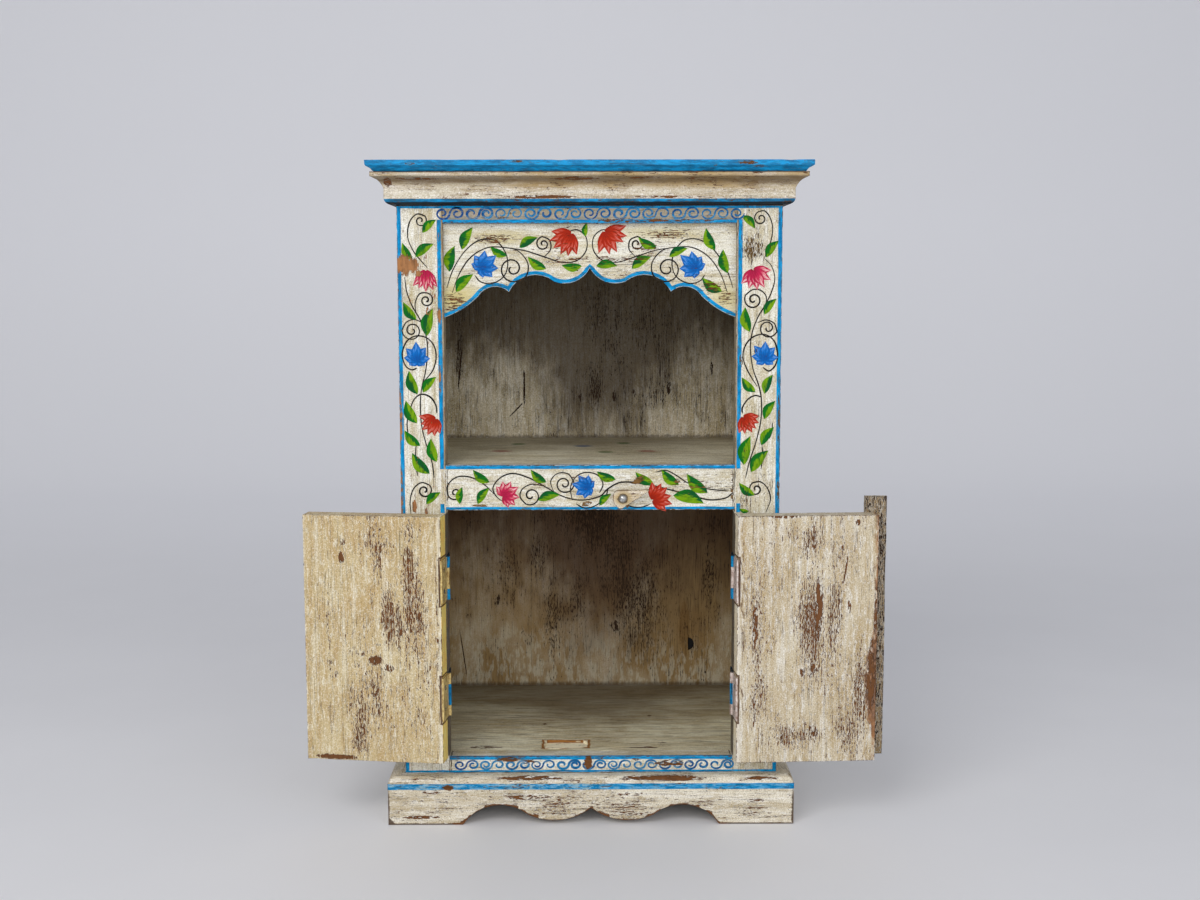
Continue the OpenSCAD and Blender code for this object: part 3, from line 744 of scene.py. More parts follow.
def curled(path, centre, turns, end=0.14):
    """A path whose last point winds in round a centre; turns is negative for clockwise."""
    start = Vector(path[-1]) - Vector(centre)
    angle = math.atan2(start.y, start.x)
    count = int(abs(turns) * 18)
    for i in range(1, count + 1):
        share = i / count
        r = start.length * (1 - (1 - end) * share)
        turned = angle + turns * 2 * math.pi * share
        path.append((centre[0] + r * math.cos(turned), centre[1] + r * math.sin(turned)))
    return path


def steps_between(start, end, pitch=6.0):
    """Points along a straight line."""
    start, end = Vector(start), Vector(end)
    count = max(1, round((end - start).length / pitch))
    return [tuple(start.lerp(end, i / count)) for i in range(count + 1)]


def curved_edge(board, reach):
    """The board's curved lower edge, from left to right, as far as reach from the middle."""
    lowest = {}
    for v in nodes[board.node].data.vertices:
        x, y, z = v.co / MM
        if abs(y - board.low.y) < 0.01 and abs(x) < reach and z < board.high.z - 1:
            lowest[round(x, 2)] = min(z, lowest.get(round(x, 2), z))
    path = []
    corners = sorted(lowest.items())
    for start, end in zip(corners, corners[1:]):
        path += steps_between(start, end, 3.0)[:-1]
    return path + [corners[-1]]


# ---- What each board's paint shows besides its wear ----


def blue_edge(worn, pigment):
    """Blue on the top board's moulded edge, just over its arris and down under it."""
    x, y, z = worn.axes
    low, high = worn.board.low, worn.board.high
    gap = (high.x - abs(x)).least(y - low.y) + worn.fleck.around(5.0)
    blue = (gap - z.ramp(low.z, high.z, 11.0, 4.0)).ramp(-0.2, 0.2, 1.0, 0.0)
    return pigment.coats((blue, line_blue(worn)))


def blue_bead(worn, pigment):
    """Blue on the cornice's bead with painted shade on its lower side, ochre stains on the cove, painted
    shade in the hollow above it and a painted shadow under the top board.
    """
    z = worn.axes[2]
    ragged = z + worn.patch.around(7.0)
    edge = z + worn.fleck.around(1.6)
    blue = worn.patch.ramp(0.40, 0.60, 0.05, 0.6).mix(line_blue(worn), (0.08, 0.22, 0.28))
    return pigment.coats(
        (ragged.ramp(703, 711) * worn.cloud.ramp(0.40, 0.56, 0.25, 0.75), (0.72, 0.60, 0.38)),
        # Painted shade in the hollow above the cove.
        (abs(ragged - 715.5).ramp(0.5, 7.0, 0.72, 0.0), (0.36, 0.28, 0.18)),
        # Painted shadow under the top board.
        (z.ramp(722.4, 723.2, 0.0, 0.8), (0.34, 0.22, 0.12)),
        # The bead's lower side and underside turn dark navy: painted shade.
        (edge.ramp(695.6, 696.0, 1.0, 0.0), blue.coats((edge.ramp(693.2, 692.0), (0.05, 0.12, 0.16)))))


def shadow_line(worn, pigment):
    """Painted shadow in the corner under the cornice, painted shade beside the hinges, and a worn tan strip
    on each stile's arris by the upper opening.
    """
    x, z = abs(worn.axes[0]), worn.axes[2]
    # Painted shade on the stile's inner edge beside the hinges.
    inner = x.ramp(161.5, 163.5, 1.0, 0.0) * z.ramp(350, 352, 0.85, 0.0) * z.ramp(FLOOR, FLOOR + 2)
    arris = x.ramp(161.6, 162.2, 0.75, 0.0) * z.ramp(400, 402)
    return pigment.coats((inner, (0.24, 0.19, 0.13)), (arris, (0.50, 0.43, 0.31)),
                         # Painted shadow in the corner under the cornice.
                         (z.ramp(688.2, 689.0), (0.16, 0.13, 0.10)))


def stained_arch(worn, pigment):
    """Ochre stains in the arch's corners and along its top."""
    stains = spots(ARCH_FACE, 6, "y", [
        (-146, 590, 26, 22, 0.85), (148, 588, 22, 20, 0.7), (-98, 655, 34, 8, 0.5), (80, 660, 46, 8, 0.5),
        (0, 640, 14, 14, 0.3)])
    return pigment.coats((worn.reached(stains, worn.patch.around(1.4), 0.1, 1.5), (0.80, 0.74, 0.48)))


def joint_line(worn, pigment):
    """A dark, broken line where a rail meets the stiles."""
    off = abs(abs(worn.axes[0]) + worn.fleck.around(3.0) - 158.2)
    line = off.ramp(0.3, 1.0, 1.0, 0.0) * worn.patch.ramp(0.42, 0.52, 0.35, 0.95)
    return pigment.coats((line, (0.20, 0.14, 0.08)))


def washed_rail(worn, pigment):
    """The top rail's lower half, where old blue shows in thin washes between rubbed, brown places."""
    low = (worn.axes[2] + worn.fleck.around(10)).ramp(675, 679, 1.0, 0.0)
    brown = low * worn.fleck.ramp(0.50, 0.62) * worn.axes[0].ramp(-60, 60, 0.35, 0.8)
    pigment = pigment.coats((low * worn.patch.ramp(0.40, 0.56, 0.0, 0.65), (0.44, 0.68, 0.76)),
                            (brown, (0.36, 0.27, 0.18)))
    return shadow_line(worn, joint_line(worn, pigment))


def backs_grime_and_shade(worn, pigment):
    """Brown grime streaks on the back boards, with painted shade towards the top and the middle of each
    opening.
    """
    x, y, z = worn.axes
    cloud, patch, fleck, hair = worn.cloud, worn.patch, worn.fleck, worn.hair
    above = z.ramp(SHELF_LOW - 1, SHELF_LOW)
    below = z.ramp(SHELF_LOW - 1, SHELF_LOW, 1.0, 0.0)
    ragged = patch.around(110) + cloud.around(120) + hair.around(45)
    height = z + ragged + abs(x - 12).ramp(10, 120, 90, 0)
    # Paler patches low on the lower back: painted light.
    rubbed = (patch * 0.6 + fleck * 0.4).ramp(0.47, 0.55) * (z + cloud.around(160)).ramp(100, 190, 0.65, 0.0)
    cluster = cloud.ramp(0.52, 0.66).most(worn.dense.ramp(0.40, 0.85))
    corner = (z + fleck.around(6)).ramp(80, 74, 0.0, 0.7)
    halo = spots(BACK, 30, "y", [(124, 152, 9, 42, 0.6), (141, 150, 14, 34, 0.3)])
    knot_hole_shade = spots(159.3, 5.6, "y", [(132, 129, 14, 14, 1.0)])
    outside = y.ramp(worn.board.high.y - 2, worn.board.high.y - 1).most(abs(x).ramp(205, 206))
    return pigment.coats(
        (below * cloud.ramp(0.38, 0.58, 0.65, 1.0), (0.60, 0.49, 0.315)),
        (rubbed, (0.80, 0.77, 0.68)),
        # Painted shade: darker towards the top and the middle of each opening.
        (above.mix(height.ramp(130, 330), height.ramp(430, 565)) * 0.85,
         above.mix((0.27, 0.155, 0.055), (0.28, 0.22, 0.14))),
        (hair.ramp(0.54, 0.66, 0.0, 0.8) * (cluster * 0.85 + 0.08), (0.18, 0.12, 0.07)),
        # Painted shade along the shelf and just above the floor.
        (abs(z + fleck.around(14) - SHELF).ramp(1, 5, 0.6, 0.0).most(corner), (0.22, 0.16, 0.09)),
        (worn.reached(halo, fleck.around(1.6)), (0.47, 0.33, 0.12)),
        # Near black in the knot hole: painted shade.
        (worn.reached(knot_hole_shade, 0.0), (0.03, 0.025, 0.02)),
        (outside, fleck.ramp(0.40, 0.60, 0.35, 0.75).mix(pigment, (0.46, 0.36, 0.24))))


def edged_plinth(worn, pigment):
    """A dark line along the plinth's arrises, strongest under its curved edge."""
    strength = worn.axes[2].ramp(30, 42, 0.9, 0.3)
    line = (worn.arris + worn.fleck.around(0.5)).ramp(0.70, 0.90, 0.0, strength)
    return pigment.coats((line, (0.26, 0.16, 0.08)))


def box_gap(place, middle, half):
    """Distance outside a rectangle, less than 0 within it; place, middle and half are pairs."""
    a, b = (abs(at - centre) - reach for at, centre, reach in zip(place, middle, half))
    return a.most(b)


def floor_shade_and_stains(worn, pigment):
    """Painted shade towards the back and middle of the cupboard's floor, grime streaks, and bare wood round
    its old recess.
    """
    x, y, _ = worn.axes
    depth = y + worn.cloud.around(160) + abs(x - 10).ramp(20, 140, 60, 0)
    gap = box_gap((x, y), (-29, -100), (27, 15)) + worn.fleck.around(7)
    return pigment.coats(
        # Painted shade: darker towards the back and the middle.
        (depth.ramp(-60, 150, 0.0, 0.75), (0.30, 0.22, 0.11)),
        (worn.hair.ramp(0.52, 0.64, 0.0, 0.6), (0.32, 0.24, 0.12)),
        (gap.ramp(1.8, 0.4), (0.60, 0.40, 0.18)),
        (gap.ramp(-1.2, -2.6), (1.0, 0.96, 0.84)))


def shelf_shade_and_ghosts(worn, pigment):
    """Painted shade towards the back and middle of the shelf, grime streaks and the ghosts of old painted
    strokes on it.
    """
    x, y, _ = worn.axes
    depth = y + worn.cloud.around(160) + abs(x - 25).ramp(20, 140, 70, 0)
    ghosts = [(worn.reached(spots(SHELF, 4, "z", [(*spot, 1.0, -6)]), worn.fleck.around(1.6)) * 0.8, colour)
              for spot, colour in (
                  ((-107, -4, 14, 12), (0.66, 0.36, 0.30)), ((-90, 74, 10, 14), (0.32, 0.44, 0.24)),
                  ((-9, 50, 13, 13), (0.32, 0.40, 0.54)), ((18, -17, 12, 12), (0.30, 0.40, 0.18)),
                  ((42, 82, 10, 14), (0.32, 0.42, 0.24)), ((68, -7, 14, 11), (0.60, 0.32, 0.28)))]
    # Painted shade: darker towards the back and the middle.
    return pigment.coats((depth.ramp(-40, 170, 0.0, 0.5), (0.40, 0.33, 0.22)),
                         (worn.hair.ramp(0.50, 0.66, 0.0, 0.3), (0.34, 0.27, 0.17)), *ghosts)


HINGE_LEVELS = [(low.z + high.z) / 2 for low, high in (
    box_mm("left_upper_door_leaf"), box_mm("left_lower_door_leaf"))]


def worn_hinge_edge(worn, pigment):
    """A door's edge beside its hinges: bare wood made paler as painted light, a rubbed arris and brown lines
    round each hinge.
    """
    x, z, fleck = abs(worn.axes[0]), worn.axes[2], worn.fleck
    near = x + worn.patch.around(16) + fleck.around(5)
    broken = fleck.ramp(0.46, 0.54) * worn.cloud.ramp(0.42, 0.52, 0.15, 0.75)
    left = worn.board.low.x < 0
    # The bare wood's colours are raised to make up for the shade the edge lies in: painted light.
    bare = ((1.0, 0.80, 0.36), (1.0, 0.93, 0.52)) if left else ((1.0, 0.92, 0.76), (1, 0.98, 0.90))
    coats = [(near.ramp(152.5, 154.5, 0.0, 0.45), worn.board.tone[2]),
             (abs(near - 151.5).ramp(0.3, 1.0, 1.0, 0.0) * broken, (0.36, 0.22, 0.12)),
             (x.ramp(157.0, 157.4, 0.0, 0.9), fleck.ramp(0.35, 0.65).mix(*bare))]
    for level in HINGE_LEVELS:
        gap = box_gap((x, z), (STILE_IN, level), (4.6, 27)) + fleck.around(4) * 0.7
        coats += [(gap.ramp(0.3, -0.6, 0.0, 0.55), (0.62, 0.50, 0.30)),
                  (abs(gap).ramp(0.5, 1.3, 0.95, 0.0), (0.30, 0.17, 0.07))]
    return pigment.coats(*coats)


def button_wear_and_shade(worn, pigment):
    """Ochre round the turn button's screw, where it has been handled, with a ring of painted shade round the
    screw and painted shade down its sides.
    """
    front = worn.board.low.y
    centre = [sum(sides) / 2 for sides in zip(*box_mm("turn_button_screw"))]
    inputs = {0: worn.place, 1: (centre[0], front, centre[2])}
    apart = worn.look.put("VectorMath", inputs, "Value", operation="DISTANCE") + worn.fleck.around(6)
    return pigment.coats((apart.ramp(5, 13, 0.8, 0.0), (0.70, 0.60, 0.40)),
                         # A dark ring round the screw: painted shade.
                         (apart.ramp(5.2, 6.2, 0.8, 0.0), (0.26, 0.20, 0.14)),
                         # Painted shade down the button's sides.
                         (worn.axes[1].ramp(front + 0.5, front + 1.2, 0.0, 0.7), (0.50, 0.38, 0.20)))


def strip_front(worn, pigment):
    """The meeting strip's front is painted like the doors, and its back is grey and stained."""
    front = worn.board.low.y
    paint = worn.band.ramp(0.45, 0.6).mix(RIGHT_DOOR_CREAM[2], RIGHT_DOOR_CREAM[0])
    return pigment.coats((worn.axes[1].ramp(front + 1.5, front + 3.5, 0.85, 0.0), paint))


def rusty_free_edge(worn, pigment):
    """Bare, oiled wood down a door's free edge, broadest below its middle."""
    x, _, z = worn.axes
    broad = abs(z - 160).ramp(20, 70, 9.0, 0.0) + 3.5
    reach = broad + worn.fleck.around(16) + worn.patch.around(12)
    oiled = worn.patch.ramp(0.40, 0.62).mix((0.62, 0.40, 0.20), (0.42, 0.25, 0.13))
    return pigment.coats(((x - reach).ramp(-2.0, 3.0, 0.9, 0.0), oiled))


# ---- The boards ----

STILE = dict(wear=0.12, ease=0.5, knock=0.8, paint=shadow_line)
RAIL = dict(wear=0.16, ease=0.5, knock=0.6, paint=joint_line)
BACKING = dict(tone=UPPER_BACK, bare=BARE_DARK, wear=0.22, edge=0.5, ease=0.15, knock=0.1, paint=backs_grime_and_shade,
               face=(BACK, 6, "y"))
PLINTH = dict(tone=PLINTH_CREAM, wear=0.25, knock=0.8)
CORNICE = dict(tone=CORNICE_CREAM, wear=0.2, knock=0.6, paint=blue_bead)
LEFT_DOOR = dict(body="left_door", tone=LEFT_DOOR_CREAM, wear=0.14, ease=0.4, knock=0.5,
                 face=(DOOR_BACK, 6, "y"))
RIGHT_DOOR = dict(body="right_door", tone=RIGHT_DOOR_CREAM, wear=0.24, ease=0.4, knock=0.5,
                  face=(DOOR_BACK - 0.5, 6, "y"))

BOARDS = [
    Board("top_board", "x", slot="blue_paint", wear=0.0, edge=0.9, paint=blue_edge, knock=0.7,
          face=(-176, 10, "y"),
          marks=[(-191, 732, 9, 3, 0.9), (-158, 729, 16, 4, 0.75), (-77, 734, 13, 2.5, 0.9),
                 (166, 733, 15, 3, 1.15), (181, 729, 10, 1.8, 1.0), (134, 730, 3, 2, 0.9),
                 (-60, 730, 6, 2, 0.7), (-82, 725, 8, 1.6, 1.0)]),
    Board("cornice_front", "x", **{**CORNICE, "wear": 0.34, "edge": 0.7}, face=(-162, 16, "y"),
          marks=[(-184, 717, 34, 2.4, 0.8), (-15, 717, 34, 2.4, 0.95), (60, 717.5, 28, 2, 0.8),
                 (120, 717, 28, 2, 0.8), (-217, 714, 6, 8, 0.9), (-55, 697.6, 56, 2.6, 0.95),
                 (90, 697.6, 70, 1.8, 0.8), (-44, 707, 3, 2, 0.9), (-132, 701, 5, 2, 0.8)]),
    Board("cornice_left", "y", **CORNICE),
    Board("cornice_right", "y", **CORNICE),
    Board("stile_left", "z", **STILE, bare=BARE_TAN,
          marks=[(-202, 625, 13, 13, 1.9), (-193, 624, 12, 11, 1.35), (-187, 616, 6, 6, 1.2),
                 (-195, 360, 3.4, 9, 1.3), (-180, 634, 5, 4, 0.9), (-177, 576, 4, 9, 0.95),
                 (-165, 571, 4, 14, 1.0), (-204, 661, 3, 6, 0.8), (-165, 500, 3, 26, 0.9),
                 (-182, 352, 2.4, 8, 1.0), (-191, 410, 2.4, 12, 0.7), (-209, 460, 2.6, 50, 0.95),
                 (-209, 376, 2.6, 40, 0.95)],
          specks=[(-172, 600, 10, 60, 0.3), (-198, 380, 10, 40, 0.3)]),
    Board("stile_right", "z", **STILE, bare=(0.40, 0.31, 0.17),
          marks=[(186, 645, 6, 18, 0.72), (166, 520, 3, 12, 0.9), (208, 450, 2.6, 50, 0.85),
                 (208, 372, 2.4, 30, 0.8)],
          specks=[(177, 643, 14, 17, 1.1), (187, 644, 6, 12, 0.6), (172, 365, 10, 14, 0.7),
                  (194, 385, 10, 16, 0.6), (170, 449, 8, 6, 0.6), (190, 540, 10, 30, 0.35)]),
    Board("top_rail", "x", **{**RAIL, "wear": 0.2, "paint": washed_rail}, tone=LIT_RAIL_CREAM,
          marks=[(48, 673, 66, 3.4, 0.85), (110, 673, 44, 3, 0.75), (-110, 676, 44, 2.4, 0.7),
                 (-20, 675, 40, 3, 0.6)]),
    Board("middle_rail", "x", **RAIL, bare=(0.50, 0.37, 0.20),
          marks=[(53, 388, 15, 5, 1.0, 28), (-4, 362, 9, 4, 1.0, 10), (42, 361, 3, 6, 0.9, -20),
                 (96, 387, 6, 4, 0.9), (108, 386, 8, 3, 0.8), (-118, 360, 30, 2.2, 0.75),
                 (157, 378, 3, 26, 0.8), (-157, 380, 3, 24, 0.6)],
          specks=[(-60, 383, 24, 5, 0.5), (130, 380, 26, 8, 0.6), (0, 390, 60, 6, 0.3)]),
    Board("bottom_rail", "x", **RAIL,
          marks=[(-92, 70, 26, 5, 1.0), (-70, 67, 16, 5, 0.85), (-3, 66, 5.5, 10, 1.5), (9, 71, 9, 3, 0.9),
                 (88, 65, 28, 6, 0.85), (50, 69, 22, 3.5, 0.6)]),
    Board("arch_board", "x", wear=0.18, ease=0.5, knock=0.5, paint=stained_arch, face=(ARCH_FACE, 5, "y"),
          marks=[(-136, 622, 6, 6, 0.6), (-30, 628, 24, 3, 0.6), (40, 630, 40, 4, 0.6)],
          specks=[(-101, 653, 24, 6, 1.0), (-148, 585, 13, 12, 0.8), (84, 658, 30, 6, 0.95),
                  (134, 600, 12, 9, 0.75), (60, 645, 30, 8, 0.5), (-130, 612, 6, 10, 0.5),
                  (20, 632, 60, 6, 0.5), (148, 590, 8, 10, 0.9)]),
    Board("side_panel_left", "z", wear=0.25),
    Board("side_panel_right", "z", wear=0.25),
    Board("back_board_left", "z", **BACKING,
          marks=[(-124, 189, 8, 12, 0.8), (-86, 470, 2, 30, 1.0), (-96, 442, 15, 1.3, 1.4, 46),
                 (-169, 500, 1.6, 34, 1.3, -6), (-171, 524, 1.2, 10, 1.2), (-169, 114, 0.9, 36, 1.3, 8)],
          specks=[(-170, 515, 6, 60, 0.6), (-110, 230, 24, 60, 0.4), (-150, 300, 40, 30, 0.3)]),
    Board("back_board_middle", "z", **{**BACKING, "wear": 0.25},
          marks=[(33, 153, 11, 13, 0.85), (-13, 457, 8, 10, 0.75), (31, 459, 4, 12, 0.8),
                 (57, 464, 3, 10, 0.8), (103, 470, 5, 14, 0.8)],
          specks=[(-50, 170, 14, 70, 0.6), (0, 300, 44, 44, 0.8), (60, 190, 34, 60, 0.8),
                  (-20, 190, 20, 44, 0.5), (40, 560, 60, 60, 0.4), (80, 460, 40, 30, 0.3),
                  (6, 470, 12, 30, 0.75), (-70, 330, 30, 50, 0.5), (-74, 250, 22, 34, 0.8),
                  (36, 250, 34, 90, 0.5)]),
    Board("back_board_right", "z", **BACKING, marks=[(158, 494, 3, 14, 0.8)],
          specks=[(157, 224, 9, 44, 0.75), (145, 560, 20, 50, 0.4)]),
    Board("middle_shelf", "x", tone=LIT_SHELF_TONE, bare=BARE_DARK, wear=0.12, edge=0.5, paint=shelf_shade_and_ghosts),
    Board("floor_board", "x", tone=FLOOR_GREY, bare=(0.36, 0.23, 0.12), wear=0.14, edge=0.5,
          paint=floor_shade_and_stains, face=(FLOOR, 4, "z"),
          marks=[(-120, -112, 26, 7, 0.95), (60, -114, 26, 6, 0.9), (84, -96, 12, 5, 0.8),
                 (72, 12, 3, 3, 1.4), (-56, -22, 3, 3, 1.4), (-150, 40, 30, 10, 0.3)]),
    Board("plinth_front", "x", **{**PLINTH, "wear": 0.32}, edge=0.45, curved=True, paint=edged_plinth,
          face=(PLINTH_FACE, 14, "y"),
          marks=[(-69, 53, 54, 2.8, 0.95), (85, 53, 60, 4.2, 1.1), (190, 52.5, 26, 2.6, 0.9),
                 (-160, 43, 8, 4, 1.3), (-110, 43.5, 66, 2.4, 0.62), (-178, 38, 18, 3.6, 0.75),
                 (-198, 27, 5, 3, 0.8), (-170, 28, 16, 4, 0.65), (-70, 32, 40, 5, 0.75),
                 (45, 35, 28, 3.6, 0.7), (100, 47, 22, 2.4, 0.6), (185, 27, 14, 3.2, 0.8),
                 (-190, 9, 26, 2.6, 0.9)],
          specks=[(35, 20, 40, 14, 0.5), (-40, 22, 38, 10, 0.35), (185, 16, 16, 8, 0.6),
                  (120, 24, 30, 6, 0.4)]),
    Board("plinth_left", "y", **PLINTH),
    Board("plinth_right", "y", **PLINTH),
    Board("left_door_hinge_plank", "z", **{**LEFT_DOOR, "wear": 0.16}, joined=("left_door_free_plank",),
          paint=worn_hinge_edge,
          marks=[(-153, 212, 3, 110, 0.7), (-117, 268, 3, 16, 0.8), (-112, 226, 3, 12, 0.85)],
          specks=[(-121, 262, 9, 92, 1.05), (-131, 247, 9, 66, 0.85), (-108, 232, 7, 40, 1.0),
                  (-138, 150, 12, 90, 0.5), (-120, 150, 20, 40, 0.4)]),
    Board("left_door_free_plank", "z", **LEFT_DOOR, joined=("left_door_hinge_plank",),
          marks=[(-47, 322, 4, 6, 1.0), (-45, 306, 5, 12, 1.05), (-83, 190, 10, 8, 1.2),
                 (-66, 197, 6, 6, 0.85), (-97, 182, 8, 6, 0.95), (-36, 173, 5, 8, 0.8),
                 (-37, 78, 26, 3.8, 1.4), (-86, 208, 8, 3, 0.7)],
          specks=[(-99, 238, 11, 40, 1.15), (-64, 122, 14, 50, 0.8), (-61, 103, 9, 26, 1.0),
                  (-82, 152, 20, 46, 0.7), (-85, 315, 18, 34, 0.6), (-30, 215, 5, 70, 0.7),
                  (-60, 200, 16, 24, 0.5)]),
    Board("right_door_hinge_plank", "z", **RIGHT_DOOR, joined=("right_door_free_plank",),
          paint=worn_hinge_edge,
          marks=[(138, 232, 4.5, 30, 0.95), (137.6, 130, 3, 34, 0.8), (67, 250, 6, 40, 0.95),
                 (85, 177, 5, 8, 0.9), (73, 180, 5, 8, 0.9), (70, 108, 6, 8, 0.9), (109, 351, 26, 3, 0.9)],
          specks=[(74, 238, 17, 64, 1.0), (94, 104, 34, 16, 0.85), (75, 322, 16, 28, 0.7),
                  (134, 190, 12, 110, 0.55), (100, 330, 30, 16, 0.4)]),
    Board("right_door_free_plank", "z", **RIGHT_DOOR, joined=("right_door_hinge_plank",),
          paint=rusty_free_edge,
          marks=[(7, 170, 8, 60, 0.9), (3, 240, 4, 50, 0.8), (25, 344, 4, 5, 0.9),
                 (38, 290, 1.6, 26, 1.0, 8), (33, 250, 2.4, 12, 0.9)],
          specks=[(18, 150, 10, 44, 0.9), (50, 240, 12, 60, 0.8), (30, 110, 16, 26, 0.6),
                  (40, 320, 14, 24, 0.4)]),
    Board("meeting_strip", "z", body="right_door", tone=STRIP_GREY, bare=BARE_DARK, wear=0.28,
          paint=strip_front, face=(FACE, 4, "y"), specks=[(0, 220, 60, 200, 0.75)]),
    Board("turn_button", "x", body="turn_button", tone=BUTTON_CREAM, wear=0.08, edge=0.4, ease=0.6,
          knock=0.3, cracks=0.2, curved=True, paint=button_wear_and_shade),
]
BY_NODE = {board.node: board for board in BOARDS}


# ---- The painting: vines, leaves, flowers, lines and scroll bands ----

# A petal's tint, and how much white its tip takes.
PINK = *srgb(0.84, 0.15, 0.34)[:3], 0.55
RED = *srgb(0.77, 0.19, 0.04)[:3], 0.16
BLUE = *srgb(0.0, 0.48, 0.83)[:3], 0.12


def draw_vine(board, name, stems, leaves, flowers, sides=(1,), middle=0):
    """Paints a vine about a middle, mirrored where its side is -1.

    Stems are (width, swell, path, and where it curls a centre and its turns), with a path as
    a, b, a, b and so on. Leaves are (base, tip, dark side), flowers as Film.flower takes them.
    """
    film = Film(board, name, (vine_grey, leaf_green, petal_paint), slot="cream_paint")

    def at(a, b):
        return Vector((middle + side * a, b))

    for side in sides:
        for width, swell, path, *curl in stems:
            path = through([(middle + side * a, b) for a, b in zip(path[::2], path[1::2])])
            if curl:
                a, b, turns = curl
                path = curled(path, (middle + side * a, b), side * turns)
            film.ribbon(path, width, swell)
    side = sides[0]
    for a, b, c, d, dark in leaves:
        film.leaf(at(a, b), at(c, d), dark)
    for a, b, size, angle, *rest in flowers:
        film.flower(at(a, b), size, angle if side > 0 else 180 - angle, *rest)
    film.finish()


